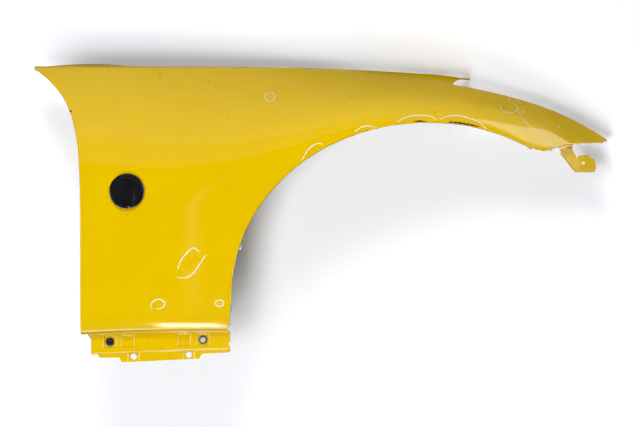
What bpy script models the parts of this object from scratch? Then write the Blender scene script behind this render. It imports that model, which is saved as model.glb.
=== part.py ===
import math

import bmesh
import bpy
import numpy as np
from mathutils import Matrix, Vector

# A right-hand front fender pressed from one steel sheet, with what is fixed to it.
# Metres. The design datum is the centre of the wheel arch, on the outermost line of the side:
# X runs forward, Y inboard and Z up. The finished part has its origin on a bolt pad of the sill flange.

# The sheet and its fits
sheet = 0.0008
fit_gap = 0.0003
edge_radius = 0.0025

# Overall outline, seen square from the side
arch_half_length = 0.3545
arch_rise = 0.3105
arch_foot_spread = 0.005
bumper_corner_angle = 56.5
rear_length = 0.630
rear_tip_sweep = 0.0995
door_edge_power = 7.6
front_length = 0.3336
front_tip_height = 0.2805
front_tip_width = 0.003
crest_height = 0.421
sill_height = 0.0677
sill_dip = 0.0079
notch_position = 0.0492
notch_height = 0.3839
tongue_length = 0.037
tongue_tip_width = 0.004
tongue_tip_slant = 0.001

# How the side curves in towards the nose, and tucks under at the sill
widest_position = -0.060
nose_sweep_depth = 0.01286
nose_roll_depth = 0.06403
sill_tuck = 0.007
sill_tuck_height = 0.055
sill_tuck_start = -0.012

# The crown along the hood, with its greatest sizes
nose_crest_drop = 0.1405
crown_reach_most = 0.192
crown_height_most = 0.275
crown_power = 2.5

# Share of the length, and shares of the three sizes: drop of the crest, reach inboard, height of the roll
crown_stations = (
    (-1.00, 0.0, 0.667, 0.909),
    (-0.68, 0.0, 0.807, 1.0),
    (-0.36, 0.007, 0.969, 0.727),
    (-0.18, 0.036, 1.0, 0.491),
    (0.00, 0.0925, 0.969, 0.407),
    (0.18, 0.142, 0.906, 0.382),
    (0.39, 0.292, 0.740, 0.345),
    (0.66, 0.541, 0.458, 0.309),
    (1.00, 1.0, 0.146, 0.273),
)

# Headlamp edge from the notch to the nose, and bumper seam from the arch to the nose:
# share of the length, share of the height
headlamp_sweep = ((0, 0), (0.309, 0.172), (0.566, 0.382), (0.826, 0.704), (0.955, 0.919), (1, 1))
seam_sweep = ((0, 0), (0.067, 0.01), (0.162, 0.16), (0.256, 0.355), (0.394, 0.625), (0.535, 0.755),
              (0.75, 0.853), (1, 0.93))

# Grid of the skin: columns and rows, with a narrow one beside each corner
sill_columns = 11
foot_columns = 2
arch_columns = 32
seam_columns = 11
tongue_columns = 4
lower_rows = 8
upper_rows = 6
edge_row_share = 0.025
corner_relief_length = 0.009
column_lean = 0.058
column_shift = 0.012

# Flanges folded in from the edges
arch_lip = 0.012
door_flange = 0.014
headlamp_flange = 0.011
seam_flange = 0.018
seam_flange_rise = 0.10
tongue_flange = 0.006
lamp_hole_radius = 0.003
lamp_hole_share = 0.55
door_tab_length = 0.024
door_tab_taper = 0.005
door_tab_height = 0.352

# Hood ledge
ledge_width = 0.024
ledge_drop = 0.010
ledge_rise = 0.016
ledge_rise_share = 0.135
ledge_hump_share = 0.45
ledge_wall_width = 0.0065
ledge_rise_spread = 0.145
ledge_hole_radius = 0.0045
ledge_hole_shares = (0.166, 0.43, 0.693, 0.95)

# Section of the ledge's wall: share of its width, share of its drop
ledge_wall = ((0.17, 0.06), (0.28, 0.22), (0.28, 0.72), (0.52, 0.95), (1.0, 1.0))

# Sill flange: places along it run from its rear end, or from its front end where they are negative
joggle_depth = 0.010
joggle_radius = 0.0015
flange_rear_inset = 0.013
flange_front_reach = 0.0045
flange_rear_slant = 0.0055
flange_rear_dip = 0.0085
flange_rear_dip_length = 0.0215
flange_height_rear = 0.0315
flange_height_front = 0.0285
flange_front_chamfer = 0.0045
flange_notch_depth = 0.0043
flange_notch_top = 0.0165
flange_notch_slope = 0.0050
flange_notch_height = 0.0055
pad_size = 0.0255
pad_radius_top = 0.006
pad_radius_bottom = 0.0025
pad_bevel = 0.0036
pad_depth = 0.0034
pad_top_gap = 0.0015
pad_places = (0.0345, 0.0676, -0.0841, -0.0495)
pad_hole_radius = 0.0045
lip_step = 0.0015
lip_step_height = 0.0022
tab_places = (0.0777, -0.0752)
tab_hole_radius = 0.0054
tab_recess_width = 0.0235
tab_recess_bevel = 0.0035
tab_recess_depth = 0.0025
tab_recess_top = 0.0030
tab_hole_drop = 0.0105

# Free edge of the lip: place along the flange, drop below the fold line
lip_outline = ((0.0127, 0.0035), (0.0152, 0.0098), (0.0516, 0.0112), (0.0561, 0.0187), (0.0617, 0.0197),
               (-0.0564, 0.0184), (-0.0518, 0.0098), (-0.0038, 0.0088))
lip_end_drop = 0.0028

# Badge holder on the side
badge_from_door = 0.0860
badge_height = 0.1865
badge_radius = 0.0320
badge_depth = 0.0036
badge_rim = 0.0026
badge_floor = 0.0012
badge_dome = 0.0016
badge_tape = 0.0010
peg_radius = 0.0020
peg_spacing = 0.036
peg_length = 0.0060

# Spring nuts on the flanges
clip_leaf = 0.0006
clip_gap = 0.0004
clip_width = 0.011
clip_reach = 0.0095
clip_barrel_radius = 0.0040
clip_barrel_length = 0.0045
clip_bore_radius = 0.0024
clip_hole_radius = 0.0034
clip_seat = 0.5
seam_clip_shares = (0.60, 0.19)
seam_part_gap = 0.002
arch_clip_share = 0.283
foot_clip_share = 0.40

# Fasteners in the sill pads
plug_head_radius = 0.0078
plug_head_height = 0.0020
plug_shank_clearance = 0.0004
plug_shank_length = 0.0085
plug_recess_radius = 0.0030
rivet_pin_radius = 0.0024
rivet_pin_head_radius = 0.0035

# Front bracket
bracket_sheet = 0.0014
bracket_gap = 0.0004
bracket_share = 0.286
bracket_seat_start = 0.0030
bracket_seat_end = 0.0150
bracket_seat_width = 0.0256
bracket_bend = 0.0025
bracket_arm_slope = 0.30
bracket_hem = 0.0045
bracket_hem_flare = 0.0012
bracket_tab_bend = 0.0022
bracket_hole_radius = 0.0028
bracket_lip_turn = 0.0035

# Bracket's arm: its length down from the bend, its reach ahead, and its edges as shares of the two:
# way down, rear edge and front edge
bracket_arm_length = 0.047
bracket_arm_reach = 0.0256
bracket_arm = ((0.13, -0.44, 0.50), (0.255, -0.33, 0.645), (0.447, -0.04, 0.84),
               (0.638, 0.246, 0.90), (0.851, 0.578, 0.96), (1.0, 0.82, 1.0))

# End tab of the bracket: how far ahead of the arm its corner rounding starts, lifts at the top edge
bracket_tab_flat = 0.0215
bracket_tab_reach = (0.0265, 0.0295, 0.0310, 0.0290)
bracket_tab_lift = 0.0022
bracket_tab_upper_lip = 0.0036

round_steps = 20
badge_steps = 36


# Splines and the skin's own surface

def natural_spline(points):
    """Cubic through the points with no bend at its ends."""
    xs = np.array([p[0] for p in points], float)
    ys = np.array([p[1] for p in points], float)
    n = len(xs)
    h = np.diff(xs)
    system = np.eye(n)
    right = np.zeros(n)
    for i in range(1, n - 1):
        system[i, i - 1] = h[i - 1]
        system[i, i] = 2 * (h[i - 1] + h[i])
        system[i, i + 1] = h[i]
        right[i] = 6 * ((ys[i + 1] - ys[i]) / h[i] - (ys[i] - ys[i - 1]) / h[i - 1])
    bend = np.linalg.solve(system, right)

    def value(x):
        x = np.clip(np.asarray(x, float), xs[0], xs[-1])
        i = np.clip(np.searchsorted(xs, x) - 1, 0, n - 2)
        a = (xs[i + 1] - x) / h[i]
        b = (x - xs[i]) / h[i]
        curve = ((a ** 3 - a) * bend[i] + (b ** 3 - b) * bend[i + 1]) * h[i] ** 2 / 6
        return a * ys[i] + b * ys[i + 1] + curve

    return value


rear_reach = rear_length + rear_tip_sweep


def station_x(share):
    return share * (rear_reach if share < 0 else front_length)


crest_drop = natural_spline([(station_x(s[0]), s[1] * nose_crest_drop) for s in crown_stations])
crown_reach = natural_spline([(station_x(s[0]), s[2] * crown_reach_most) for s in crown_stations])
crown_height = natural_spline([(station_x(s[0]), s[3] * crown_height_most) for s in crown_stations])


def crest(x):
    return crest_height - crest_drop(x)


def depth(x, z):
    """How far inboard the skin lies at a place seen square from the side."""
    past_widest = (x - widest_position) / (front_length - widest_position)
    ahead = np.maximum(past_widest, 0)
    side = nose_sweep_depth * past_widest ** 2 + nose_roll_depth * ahead ** 3
    climb = np.maximum(1 - (crest(x) - z) / crown_height(x), 0)
    tuck = np.maximum((sill_tuck_start - z) / sill_tuck_height, 0)
    return side + crown_reach(x) * climb ** crown_power + sill_tuck * tuck ** 3


def skin_point(x, z):
    return Vector((float(x), float(depth(x, z)), float(z)))


def skin_normal(x, z):
    """Unit normal that points out of the car."""
    step = 0.0005
    along = (depth(x + step, z) - depth(x - step, z)) / (2 * step)
    up = (depth(x, z + step) - depth(x, z - step)) / (2 * step)
    return Vector((float(along), -1, float(up))).normalized()


# Edge lines of the skin, where its flanges start to bend

door_x = -(rear_length - edge_radius)
foot_x = -(arch_half_length + arch_foot_spread + edge_radius)
sill_z = -(sill_height - edge_radius)
flange_rear_x = -(rear_length - flange_rear_inset) + flange_rear_slant
flange_front_x = foot_x + flange_front_reach
badge_position = -(rear_length - badge_from_door)
lamp_shape = natural_spline(headlamp_sweep)
seam_shape = natural_spline(seam_sweep)
corner_angle = math.radians(bumper_corner_angle)
corner_x = (arch_half_length + edge_radius) * math.cos(corner_angle)
corner_z = (arch_rise + edge_radius) * math.sin(corner_angle)


def sill_line(x):
    share = (foot_x - x) / (foot_x - door_x)
    return sill_z - sill_dip * max(share, 0) ** 2.3


def arch_line(angle):
    return ((arch_half_length + edge_radius) * math.cos(angle), (arch_rise + edge_radius) * math.sin(angle))


def foot_line(z):
    return -(arch_half_length + edge_radius) + arch_foot_spread * z / -sill_z, z


def headlamp_line(x):
    share = (x - notch_position) / (front_length - notch_position)
    end = front_tip_height + front_tip_width / 2
    return notch_height + (end - notch_height) * float(lamp_shape(share))


def seam_line(x):
    share = (x - corner_x) / (front_length - corner_x)
    return corner_z + (front_tip_height - corner_z) * float(seam_shape(share))


# Columns of the skin, each from the lower rail to the upper rail

def flange_place(distance):
    return distance + (flange_front_x if distance < 0 else flange_rear_x)


def skin_columns():
    """Columns as (foot of the column, its top, share of the door edge's sweep)."""
    sill_first = -(rear_length - flange_rear_inset)
    lowers = [(door_x, sill_line(door_x))]
    for x in np.linspace(sill_first, foot_x, sill_columns):
        lowers.append((float(x), sill_line(x)))
    for z in np.linspace(sill_z + corner_relief_length, 0, foot_columns + 1):
        lowers.append(foot_line(float(z)))
    corner_turn = corner_relief_length / arch_half_length
    for angle in np.linspace(math.pi, corner_angle + corner_turn, arch_columns + 1)[1:]:
        lowers.append(arch_line(float(angle)))
    corner = len(lowers)
    lowers.append((corner_x, corner_z))
    for x in np.linspace(corner_x + corner_relief_length, front_length - corner_relief_length, seam_columns):
        lowers.append((float(x), seam_line(x)))
    lowers.append((front_length - front_tip_width / 4, seam_line(front_length)))

    last = len(lowers) - 1
    tops = []
    shoulder = foot_x - column_lean - column_shift
    for i, lower in enumerate(lowers):
        if i <= sill_columns:
            share = (lower[0] - door_x) / (foot_x - door_x)
            tops.append(-rear_reach + (shoulder + rear_reach) * share)
        else:
            lean = min(max(-lower[0] / arch_half_length, 0), 1) ** 2
            tops.append(lower[0] - column_shift - column_lean * lean)
    notch = next(i for i, x in enumerate(tops) if x > notch_position)
    columns = []
    for i, lower in enumerate(lowers):
        if i < notch:
            top = (tops[i], float(crest(tops[i])))
        elif i < last:
            share = (i - notch) / (last - 1 - notch)
            x = notch_position + (front_length - corner_relief_length - notch_position) * share
            top = (x, headlamp_line(x))
        else:
            top = (front_length, headlamp_line(front_length))
        sweep = max(1 - (lower[0] - door_x) / (foot_x - door_x), 0) if i <= sill_columns else 0
        columns.append((lower, top, sweep))
    return columns, notch, corner


def spaced_points(lower, upper, sweep, shares):
    """Points up one column, at shares of its length over the curved skin."""
    climb = np.linspace(0, 1, 61)
    x = lower[0] + (upper[0] - lower[0]) * climb
    z = lower[1] + (upper[1] - lower[1]) * climb
    x = x + sweep * (rear_tip_sweep + edge_radius) * (climb - climb ** door_edge_power)
    y = depth(x, z)
    steps = np.sqrt(np.diff(x) ** 2 + np.diff(y) ** 2 + np.diff(z) ** 2)
    length = np.concatenate(([0], np.cumsum(steps)))
    where = np.interp(np.array(shares) * length[-1], length, climb)
    px = np.interp(where, climb, x)
    pz = np.interp(where, climb, z)
    return [(float(a), float(b)) for a, b in zip(px, pz)]


# Mesh helpers

datum = None


def new_material(name, colour, metallic, roughness, coat=0.0):
    material = bpy.data.materials.new(name)
    material.use_nodes = True
    shader = material.node_tree.nodes["Principled BSDF"]
    shader.inputs["Base Color"].default_value = (*colour, 1)
    shader.inputs["Metallic"].default_value = metallic
    shader.inputs["Roughness"].default_value = roughness
    shader.inputs["Coat Weight"].default_value = coat
    material.diffuse_color = (*colour, 1)
    return material


def new_object(name, bm, material=None):
    mesh = bpy.data.meshes.new(name)
    bm.to_mesh(mesh)
    bm.free()
    mesh.shade_smooth()
    mesh.set_sharp_from_angle(angle=math.radians(35))
    obj = bpy.data.objects.new(name, mesh)
    bpy.context.collection.objects.link(obj)
    obj.parent = datum
    if material:
        mesh.materials.append(material)
    return obj


def as_cutter(obj):
    obj.hide_render = True
    obj.display_type = 'WIRE'
    return obj


def cut(obj, cutter, operation='DIFFERENCE'):
    boolean = obj.modifiers.new(cutter.name, 'BOOLEAN')
    boolean.operation = operation
    boolean.object = as_cutter(cutter)
    boolean.solver = 'EXACT'
    return boolean


def solid_sheet(obj, thickness):
    """Gives the sheet its thickness on the side away from its normals."""
    solidify = obj.modifiers.new("thickness", 'SOLIDIFY')
    solidify.thickness = thickness
    solidify.offset = -1
    solidify.use_even_offset = True
    solidify.use_quality_normals = True
    return solidify


def frame_matrix(origin, across, up):
    """Matrix whose Z runs along up and whose X lies as near across as it can."""
    z = up.normalized()
    x = (across - z * across.dot(z)).normalized()
    y = z.cross(x)
    matrix = Matrix((x, y, z)).transposed().to_4x4()
    matrix.translation = origin
    return matrix


def turned(bm, profile, matrix, steps=round_steps):
    """Turns an outline of (radius, height) about the Z of the matrix."""
    made = []
    for radius, height in profile:
        made.append(bm.verts.new(matrix @ Vector((radius, 0, height))))
    edges = [bm.edges.new(pair) for pair in zip(made, made[1:])]
    axis = matrix.to_3x3() @ Vector((0, 0, 1))
    spun = made + edges
    bmesh.ops.spin(bm, geom=spun, cent=matrix.translation, axis=axis, angle=2 * math.pi, steps=steps,
                   use_merge=True, use_duplicate=False)
    bmesh.ops.remove_doubles(bm, verts=bm.verts, dist=0.00001)
    bmesh.ops.recalc_face_normals(bm, faces=bm.faces)


def add_peg(bm, matrix, radius, low, high, steps=16):
    """One closed round peg along the Z of the matrix, as its own shell."""
    rings = []
    for height in (low, high):
        ring = []
        for i in range(steps):
            angle = 2 * math.pi * i / steps
            local = Vector((radius * math.cos(angle), radius * math.sin(angle), height))
            ring.append(bm.verts.new(matrix @ local))
        rings.append(ring)
    for i in range(steps):
        j = (i + 1) % steps
        bm.faces.new((rings[0][i], rings[0][j], rings[1][j], rings[1][i]))
    bm.faces.new(list(reversed(rings[0])))
    bm.faces.new(rings[1])


def quads_between(bm, first, second):
    for a, b, c, d in zip(first, first[1:], second[1:], second):
        bm.faces.new((a, b, c, d))


def rail_frames(rail, hint):
    """At each vertex of a rail: the way out of the skin along its surface, and the way inboard."""
    frames = []
    for i, vert in enumerate(rail):
        before = rail[max(i - 1, 0)].co
        after = rail[min(i + 1, len(rail) - 1)].co
        tangent = (after - before).normalized()
        normal = skin_normal(vert.co.x, vert.co.z)
        out = normal.cross(tangent).normalized()
        if out.dot(hint(vert.co)) < 0:
            out.negate()
        frames.append((vert.co.copy(), out, -normal))
    return frames


def fold_flange(bm, rail, hint, leg_way, length, radius=edge_radius, steps=3):
    """Folds a flange from a rail: a round bend, then a straight leg along leg_way. Returns its rows."""
    frames = rail_frames(rail, hint)
    rows = [rail] + [[] for _ in range(steps + 1)]
    for origin, out, inboard in frames:
        leg = (leg_way(inboard)).normalized()
        side = (leg - out * leg.dot(out)).normalized()
        angle = math.acos(leg.dot(out))
        for step in range(1, steps + 1):
            turn = angle * step / steps
            point = origin + out * radius * math.sin(turn) + side * radius * (1 - math.cos(turn))
            rows[step].append(bm.verts.new(point))
        rows[-1].append(bm.verts.new(point + leg * length))
    for lower, upper in zip(rows, rows[1:]):
        quads_between(bm, lower, upper)
    return rows


# The panel

def towards(x, y, z):
    way = Vector((x, y, z))
    return lambda _: way


def towards_arch_centre(point):
    return Vector((-point.x, 0, -point.z))


def hump(x):
    """How far the hood ledge is raised at x, from 0 to 1."""
    centre = -rear_reach + (notch_position + rear_reach) * ledge_rise_share
    return math.exp(-((x - centre) / ledge_rise_spread) ** 2)


def hood_ledge(bm, rail):
    """Crease, short wall and ledge beside the hood, raised in a long hump over its rear part."""
    rows = [rail]
    for reach, fall in ledge_wall:
        row = []
        for vert in rail:
            drop = ledge_drop * (1 - ledge_hump_share * hump(vert.co.x)) * fall
            row.append(bm.verts.new(vert.co + Vector((0, reach * ledge_wall_width, -drop))))
        rows.append(row)
    row = []
    for vert in rail:
        rise = ledge_rise * hump(vert.co.x) - ledge_drop
        row.append(bm.verts.new(vert.co + Vector((0, ledge_width, rise))))
    rows.append(row)
    for lower, upper in zip(rows, rows[1:]):
        quads_between(bm, lower, upper)
    return rows


def flange_y(x, rail):
    """The sill flange lies in one plane behind the two ends of the fold."""
    rear = rail[0].co
    front = rail[-1].co
    share = (x - rear.x) / (front.x - rear.x)
    return rear.y + (front.y - rear.y) * share + joggle_depth


def rear_dip(x):
    """How far the flange's upper bend runs down towards its rear end, where its wall widens."""
    return flange_rear_dip * min(max(1 - (x - flange_rear_x) / flange_rear_dip_length, 0), 1)


def sill_joggle(bm, rail):
    """Steps the sheet inboard under the sill line and turns it down again."""
    rows = [[] for _ in range(7)]
    rows[0] = rail
    for vert in rail:
        plane = flange_y(vert.co.x, rail)
        start = vert.co
        for i, turn in enumerate((30, 60, 90)):
            angle = math.radians(turn)
            y = start.y + joggle_radius * (1 - math.cos(angle))
            z = start.z - joggle_radius * math.sin(angle)
            rows[1 + i].append(bm.verts.new((start.x, y, z)))
        level = start.z - joggle_radius
        for i, turn in enumerate((0, 45, 90)):
            angle = math.radians(turn)
            y = plane - joggle_radius + joggle_radius * math.sin(angle)
            z = level - joggle_radius * (1 - math.cos(angle)) - rear_dip(start.x)
            rows[4 + i].append(bm.verts.new((max(start.x, flange_rear_x), y, z)))
    for lower, upper in zip(rows, rows[1:]):
        quads_between(bm, lower, upper)
    return rows[-1]


def rounded_pad(centre, top, size, inset, top_radius, bottom_radius, steps=4):
    """Outline of a pad in (x, z), round at its corners, from the lower left corner on."""
    left = centre - size / 2 + inset
    right = centre + size / 2 - inset
    high = top - inset
    low = top - size + inset
    corners = ((left + bottom_radius, low + bottom_radius, bottom_radius, 180),
               (right - bottom_radius, low + bottom_radius, bottom_radius, 270),
               (right - top_radius, high - top_radius, top_radius, 0),
               (left + top_radius, high - top_radius, top_radius, 90))
    outline = []
    for x, z, radius, start in corners:
        for i in range(steps + 1):
            angle = math.radians(start + 90 * i / steps)
            outline.append((x + radius * math.cos(angle), z + radius * math.sin(angle)))
    return outline


def loop_edges(bm, loop):
    edges = []
    for a, b in zip(loop, loop[1:] + loop[:1]):
        edges.append(bm.edges.get((a, b)) or bm.edges.new((a, b)))
    return edges


def fold_z(x, rail):
    """Line of the small step above the lip of the sill flange."""
    low_rear = rail[0].co.z + rear_dip(rail[0].co.x) - flange_height_rear
    low_front = rail[-1].co.z - flange_height_front
    share = (x - rail[0].co.x) / (rail[-1].co.x - rail[0].co.x)
    return low_rear + (low_front - low_rear) * share


def pad_top(x, rail):
    """Height of the flange's upper edge at x, less the room above a pad."""
    for a, b in zip(rail, rail[1:]):
        if a.co.x <= x <= b.co.x:
            share = (x - a.co.x) / (b.co.x - a.co.x)
            return a.co.z + (b.co.z - a.co.z) * share - pad_top_gap
    return rail[0].co.z - pad_top_gap


def tab_recess(x):
    """Depth of the recess round the nearest tab hole, with sloped sides."""
    distance = min(abs(x - flange_place(place)) for place in tab_places)
    edge = tab_recess_width / 2 - distance
    return tab_recess_depth * min(max(edge / tab_recess_bevel, 0), 1)


def lip_stations():
    """Places along the lip where its outline or its recesses turn."""
    places = [flange_place(place) for place, _ in lip_outline]
    for place in tab_places:
        for side in (-1, 1):
            places.append(flange_place(place) + side * tab_recess_width / 2)
            places.append(flange_place(place) + side * (tab_recess_width / 2 - tab_recess_bevel))
    return sorted(places)


def lip_drop(x):
    places = [flange_place(place) for place, _ in lip_outline]
    drops = [drop for _, drop in lip_outline]
    return float(np.interp(x, places, drops))


def sill_flange(bm, skin_rail, top_rail):
    """Flat flange with four sunk bolt pads, and below its fold the lip with two sunk tabs."""

    def at(x, z, out=0.0):
        return bm.verts.new((x, flange_y(x, skin_rail) - out, z))

    # The fold line and the lip under it
    places = [flange_rear_x] + lip_stations() + [flange_front_x]
    fold = [at(x, fold_z(x, top_rail)) for x in places]
    rows = [fold]
    for level in (1, 2, 3):
        row = []
        for i, x in enumerate(places):
            drop = lip_drop(x) if 0 < i < len(places) - 1 else lip_end_drop
            step = min(lip_step_height, drop * 0.3)
            deep = (0, step, min(step + tab_recess_top, drop * 0.6), drop)
            inboard = lip_step + (tab_recess(x) if level > 1 else 0)
            row.append(at(x, fold_z(x, top_rail) - deep[level], -inboard))
        rows.append(row)
    for upper, lower in zip(rows, rows[1:]):
        quads_between(bm, upper, lower)

    # Outline of the flat part
    corner_z = top_rail[-1].co.z
    notch_x = flange_front_x - flange_notch_depth
    notch_z = corner_z - flange_notch_top - flange_notch_slope
    front_side = [at(flange_front_x, corner_z - flange_front_chamfer),
                  at(flange_front_x, corner_z - flange_notch_top),
                  at(notch_x, notch_z),
                  at(notch_x, notch_z - flange_notch_height)]
    outline = list(top_rail) + front_side + list(reversed(fold))
    edges = loop_edges(bm, outline)

    # Pads, pressed inboard from the flat part
    for place in pad_places:
        position = flange_place(place)
        top = pad_top(position, top_rail)
        base = rounded_pad(position, top, pad_size, 0, pad_radius_top, pad_radius_bottom)
        face = rounded_pad(position, top, pad_size, pad_bevel, pad_radius_top - pad_bevel / 2,
                           pad_radius_bottom / 2)
        base_loop = [at(x, z) for x, z in base]
        face_loop = [at(x, z, -pad_depth) for x, z in face]
        quads_between(bm, base_loop + base_loop[:1], face_loop + face_loop[:1])
        bm.faces.new(face_loop)
        edges += loop_edges(bm, base_loop)
    bmesh.ops.triangle_fill(bm, use_beauty=True, use_dissolve=False, edges=edges, normal=(0, -1, 0))


def door_tab(bm, rows):
    """Bolt tab that reaches inboard from the free edge of the door flange."""
    at = min(range(1, len(rows[-1])), key=lambda i: abs(rows[0][i].co.z - door_tab_height))
    low = rows[-1][at - 1]
    high = rows[-1][at]
    leg = (low.co - rows[-2][at - 1].co).normalized()
    up = (high.co - low.co).normalized()
    outer_low = bm.verts.new(low.co + leg * door_tab_length + up * door_tab_taper)
    outer_high = bm.verts.new(high.co + leg * door_tab_length - up * door_tab_taper)
    bm.faces.new((low, high, outer_high, outer_low))
    centre = (low.co + high.co + outer_low.co + outer_high.co) / 4
    return centre, leg.cross(up), up


def seam_places(start, end):
    """Along the seam flange: the middle of the bracket's seat, and of the spring nuts to its two sides."""
    clip_room = clip_width + 2 * seam_part_gap
    least = clip_room + bracket_seat_width / 2
    bracket = start + least + (end - start - 2 * least) * bracket_share
    clips = []
    for low, high, share in ((start, bracket - bracket_seat_width / 2, seam_clip_shares[0]),
                             (bracket + bracket_seat_width / 2, end, seam_clip_shares[1])):
        clips.append(low + clip_room / 2 + (high - low - clip_room) * share)
    return bracket, clips


def clip_frame(rows, wanted, reach, along='x'):
    """Seat of a spring nut between its two sides, and how far the flange bows away from it."""
    before, middle, after = (frame_on_flange(rows, wanted + clip_width / 2 * side, reach, along)
                             for side in (-1, 0, 1))
    chord = (before[0] + after[0]) / 2
    tangent = (after[0] - before[0]).normalized()
    return chord.lerp(middle[0], 0.5), tangent, middle[2], (middle[0] - chord).length


def frame_on_flange(rows, wanted, reach, along='x'):
    """Frame on the straight leg of a flange: place, way along, way to the free edge."""
    bend_end = rows[-2]
    free = rows[-1]
    keys = [getattr(v.co, along) for v in rows[0]]
    at = next(i for i in range(len(keys) - 1) if (keys[i] - wanted) * (keys[i + 1] - wanted) <= 0)
    share = (wanted - keys[at]) / (keys[at + 1] - keys[at])
    start = bend_end[at].co.lerp(bend_end[at + 1].co, share)
    end = free[at].co.lerp(free[at + 1].co, share)
    tangent = (bend_end[at + 1].co - bend_end[at].co).normalized()
    leg = (end - start).normalized()
    return start + leg * reach, tangent, leg


def make_panel(material):
    bm = bmesh.new()
    columns, notch, corner = skin_columns()
    last = len(columns) - 1

    # The shared row, which runs out to the headlamp notch, splits the skin in two bands
    notch_lower = columns[notch][0]
    crest_top = (notch_position, float(crest(notch_position)))
    band = column_length(notch_lower, (notch_position, notch_height))
    whole = band + column_length((notch_position, notch_height), crest_top)
    split = band / whole

    low_rows = [0] + list(np.linspace(edge_row_share, 1, lower_rows))
    high_rows = list(np.linspace(0, 1 - edge_row_share * 2, upper_rows)) + [1]
    low_shares = [split * share for share in low_rows]
    high_shares = [split + (1 - split) * share for share in high_rows]
    grid = []
    for i, (lower, upper, sweep) in enumerate(columns):
        if i < notch:
            places = spaced_points(lower, upper, sweep, low_shares + high_shares[1:])
        else:
            places = spaced_points(lower, upper, sweep, low_rows)
        grid.append([bm.verts.new(skin_point(x, z)) for x, z in places])
    root = spaced_points((notch_position, notch_height), crest_top, 0, high_rows[1:])
    tongue = [[grid[notch][-1]] + [bm.verts.new(skin_point(x, z)) for x, z in root]]
    for i in range(notch):
        right = grid[i + 1] if i + 1 < notch else grid[notch] + tongue[0][1:]
        quads_between(bm, grid[i], right)
    for i in range(notch, last):
        quads_between(bm, grid[i], grid[i + 1])

    # The tongue between hood and headlamp
    tip_x = notch_position + tongue_length
    tip_top = (tip_x, float(crest(tip_x)))
    tip_low = (tip_x - tongue_tip_slant, tip_top[1] - tongue_tip_width * 0.4)
    for i in range(1, tongue_columns + 1):
        share = i / tongue_columns
        low = (notch_position + (tip_low[0] - notch_position) * share,
               notch_height + (tip_low[1] - notch_height) * share)
        top_x = notch_position + (tip_top[0] - notch_position) * share
        top = (top_x, float(crest(top_x)))
        places = spaced_points(low, top, 0, high_rows)
        tongue.append([bm.verts.new(skin_point(x, z)) for x, z in places])
        quads_between(bm, tongue[i - 1], tongue[i])

    # Flanges, each stopped one column short of its corners as a relief
    arch_rail = [grid[i][0] for i in range(sill_columns + 1, corner)]
    seam_rail = [grid[i][0] for i in range(corner + 1, last)]
    lamp_rail = [grid[i][-1] for i in range(notch + 1, last)]
    crest_rail = [grid[i][-1] for i in range(1, notch)] + [row[-1] for row in tongue[:-1]]
    door_rail = grid[0][1:-1]
    tongue_rail = [row[0] for row in tongue[1:]]
    arch_rows = fold_flange(bm, arch_rail, towards_arch_centre, towards(0, 1, 0), arch_lip)
    seam_rows = fold_flange(bm, seam_rail, towards(0, 0, -1), towards(0, 1, seam_flange_rise), seam_flange)
    lamp_rows = fold_flange(bm, lamp_rail, towards(1, 0, 1), lambda inboard: inboard, headlamp_flange)
    fold_flange(bm, tongue_rail, towards(1, 0, -1), lambda inboard: inboard, tongue_flange, edge_radius / 2)
    door_rows = fold_flange(bm, door_rail, towards(-1, 0, 0), lambda inboard: inboard, door_flange)
    ledge_rows = hood_ledge(bm, crest_rail)
    sill_rail = [grid[i][0] for i in range(1, sill_columns + 1)]
    top_rail = sill_joggle(bm, sill_rail)
    sill_flange(bm, sill_rail, top_rail)
    tab = door_tab(bm, door_rows)
    bracket_x, clip_xs = seam_places(seam_rail[0].co.x, seam_rail[-1].co.x)

    bmesh.ops.recalc_face_normals(bm, faces=bm.faces)
    bm.faces.ensure_lookup_table()
    if bm.faces[0].normal.y > 0:
        bmesh.ops.reverse_faces(bm, faces=bm.faces)

    places = {
        "arch": clip_frame(arch_rows, arch_rise * arch_clip_share, arch_lip * clip_seat, 'z'),
        "foot": clip_frame(arch_rows, sill_z * foot_clip_share, arch_lip * clip_seat, 'z'),
        "seam": [clip_frame(seam_rows, x, seam_flange * clip_seat) for x in clip_xs],
        "bracket": [frame_on_flange(seam_rows, bracket_x + bracket_seat_width * share, 0)
                    for share in (-0.5, -0.25, 0, 0.25, 0.5)],
        "lamp": frame_on_flange(lamp_rows, front_length * lamp_hole_share, headlamp_flange / 2),
        "ledge": [ledge_seat(ledge_rows, share) for share in ledge_hole_shares],
        "tab": tab,
        "pads": [pad_seat(place, sill_rail, top_rail) for place in pad_places],
        "tab_holes": [tab_seat(place, sill_rail, top_rail) for place in tab_places],
    }
    panel = new_object("fender_panel", bm, material)
    solid_sheet(panel, sheet)
    return panel, places


def column_length(lower, upper):
    x = np.linspace(lower[0], upper[0], 61)
    z = np.linspace(lower[1], upper[1], 61)
    y = depth(x, z)
    return float(np.sqrt(np.diff(x) ** 2 + np.diff(y) ** 2 + np.diff(z) ** 2).sum())


def ledge_seat(rows, share):
    """Middle of the ledge at a hole, with its upward normal."""
    x_wanted = -rear_reach + (notch_position + rear_reach) * share
    inner = rows[-1]
    outer = rows[-2]
    nearest = min(range(1, len(inner) - 1), key=lambda i: abs(inner[i].co.x - x_wanted))
    centre = (inner[nearest].co + outer[nearest].co) / 2
    along = (inner[nearest + 1].co - inner[nearest - 1].co).normalized()
    across = (inner[nearest].co - outer[nearest].co).normalized()
    normal = along.cross(across).normalized()
    if normal.z < 0:
        normal.negate()
    return centre, along, normal


def flange_outward(skin_rail):
    rear = skin_rail[0].co
    front = skin_rail[-1].co
    return Vector((front.y - rear.y, -(front.x - rear.x), 0)).normalized()


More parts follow.
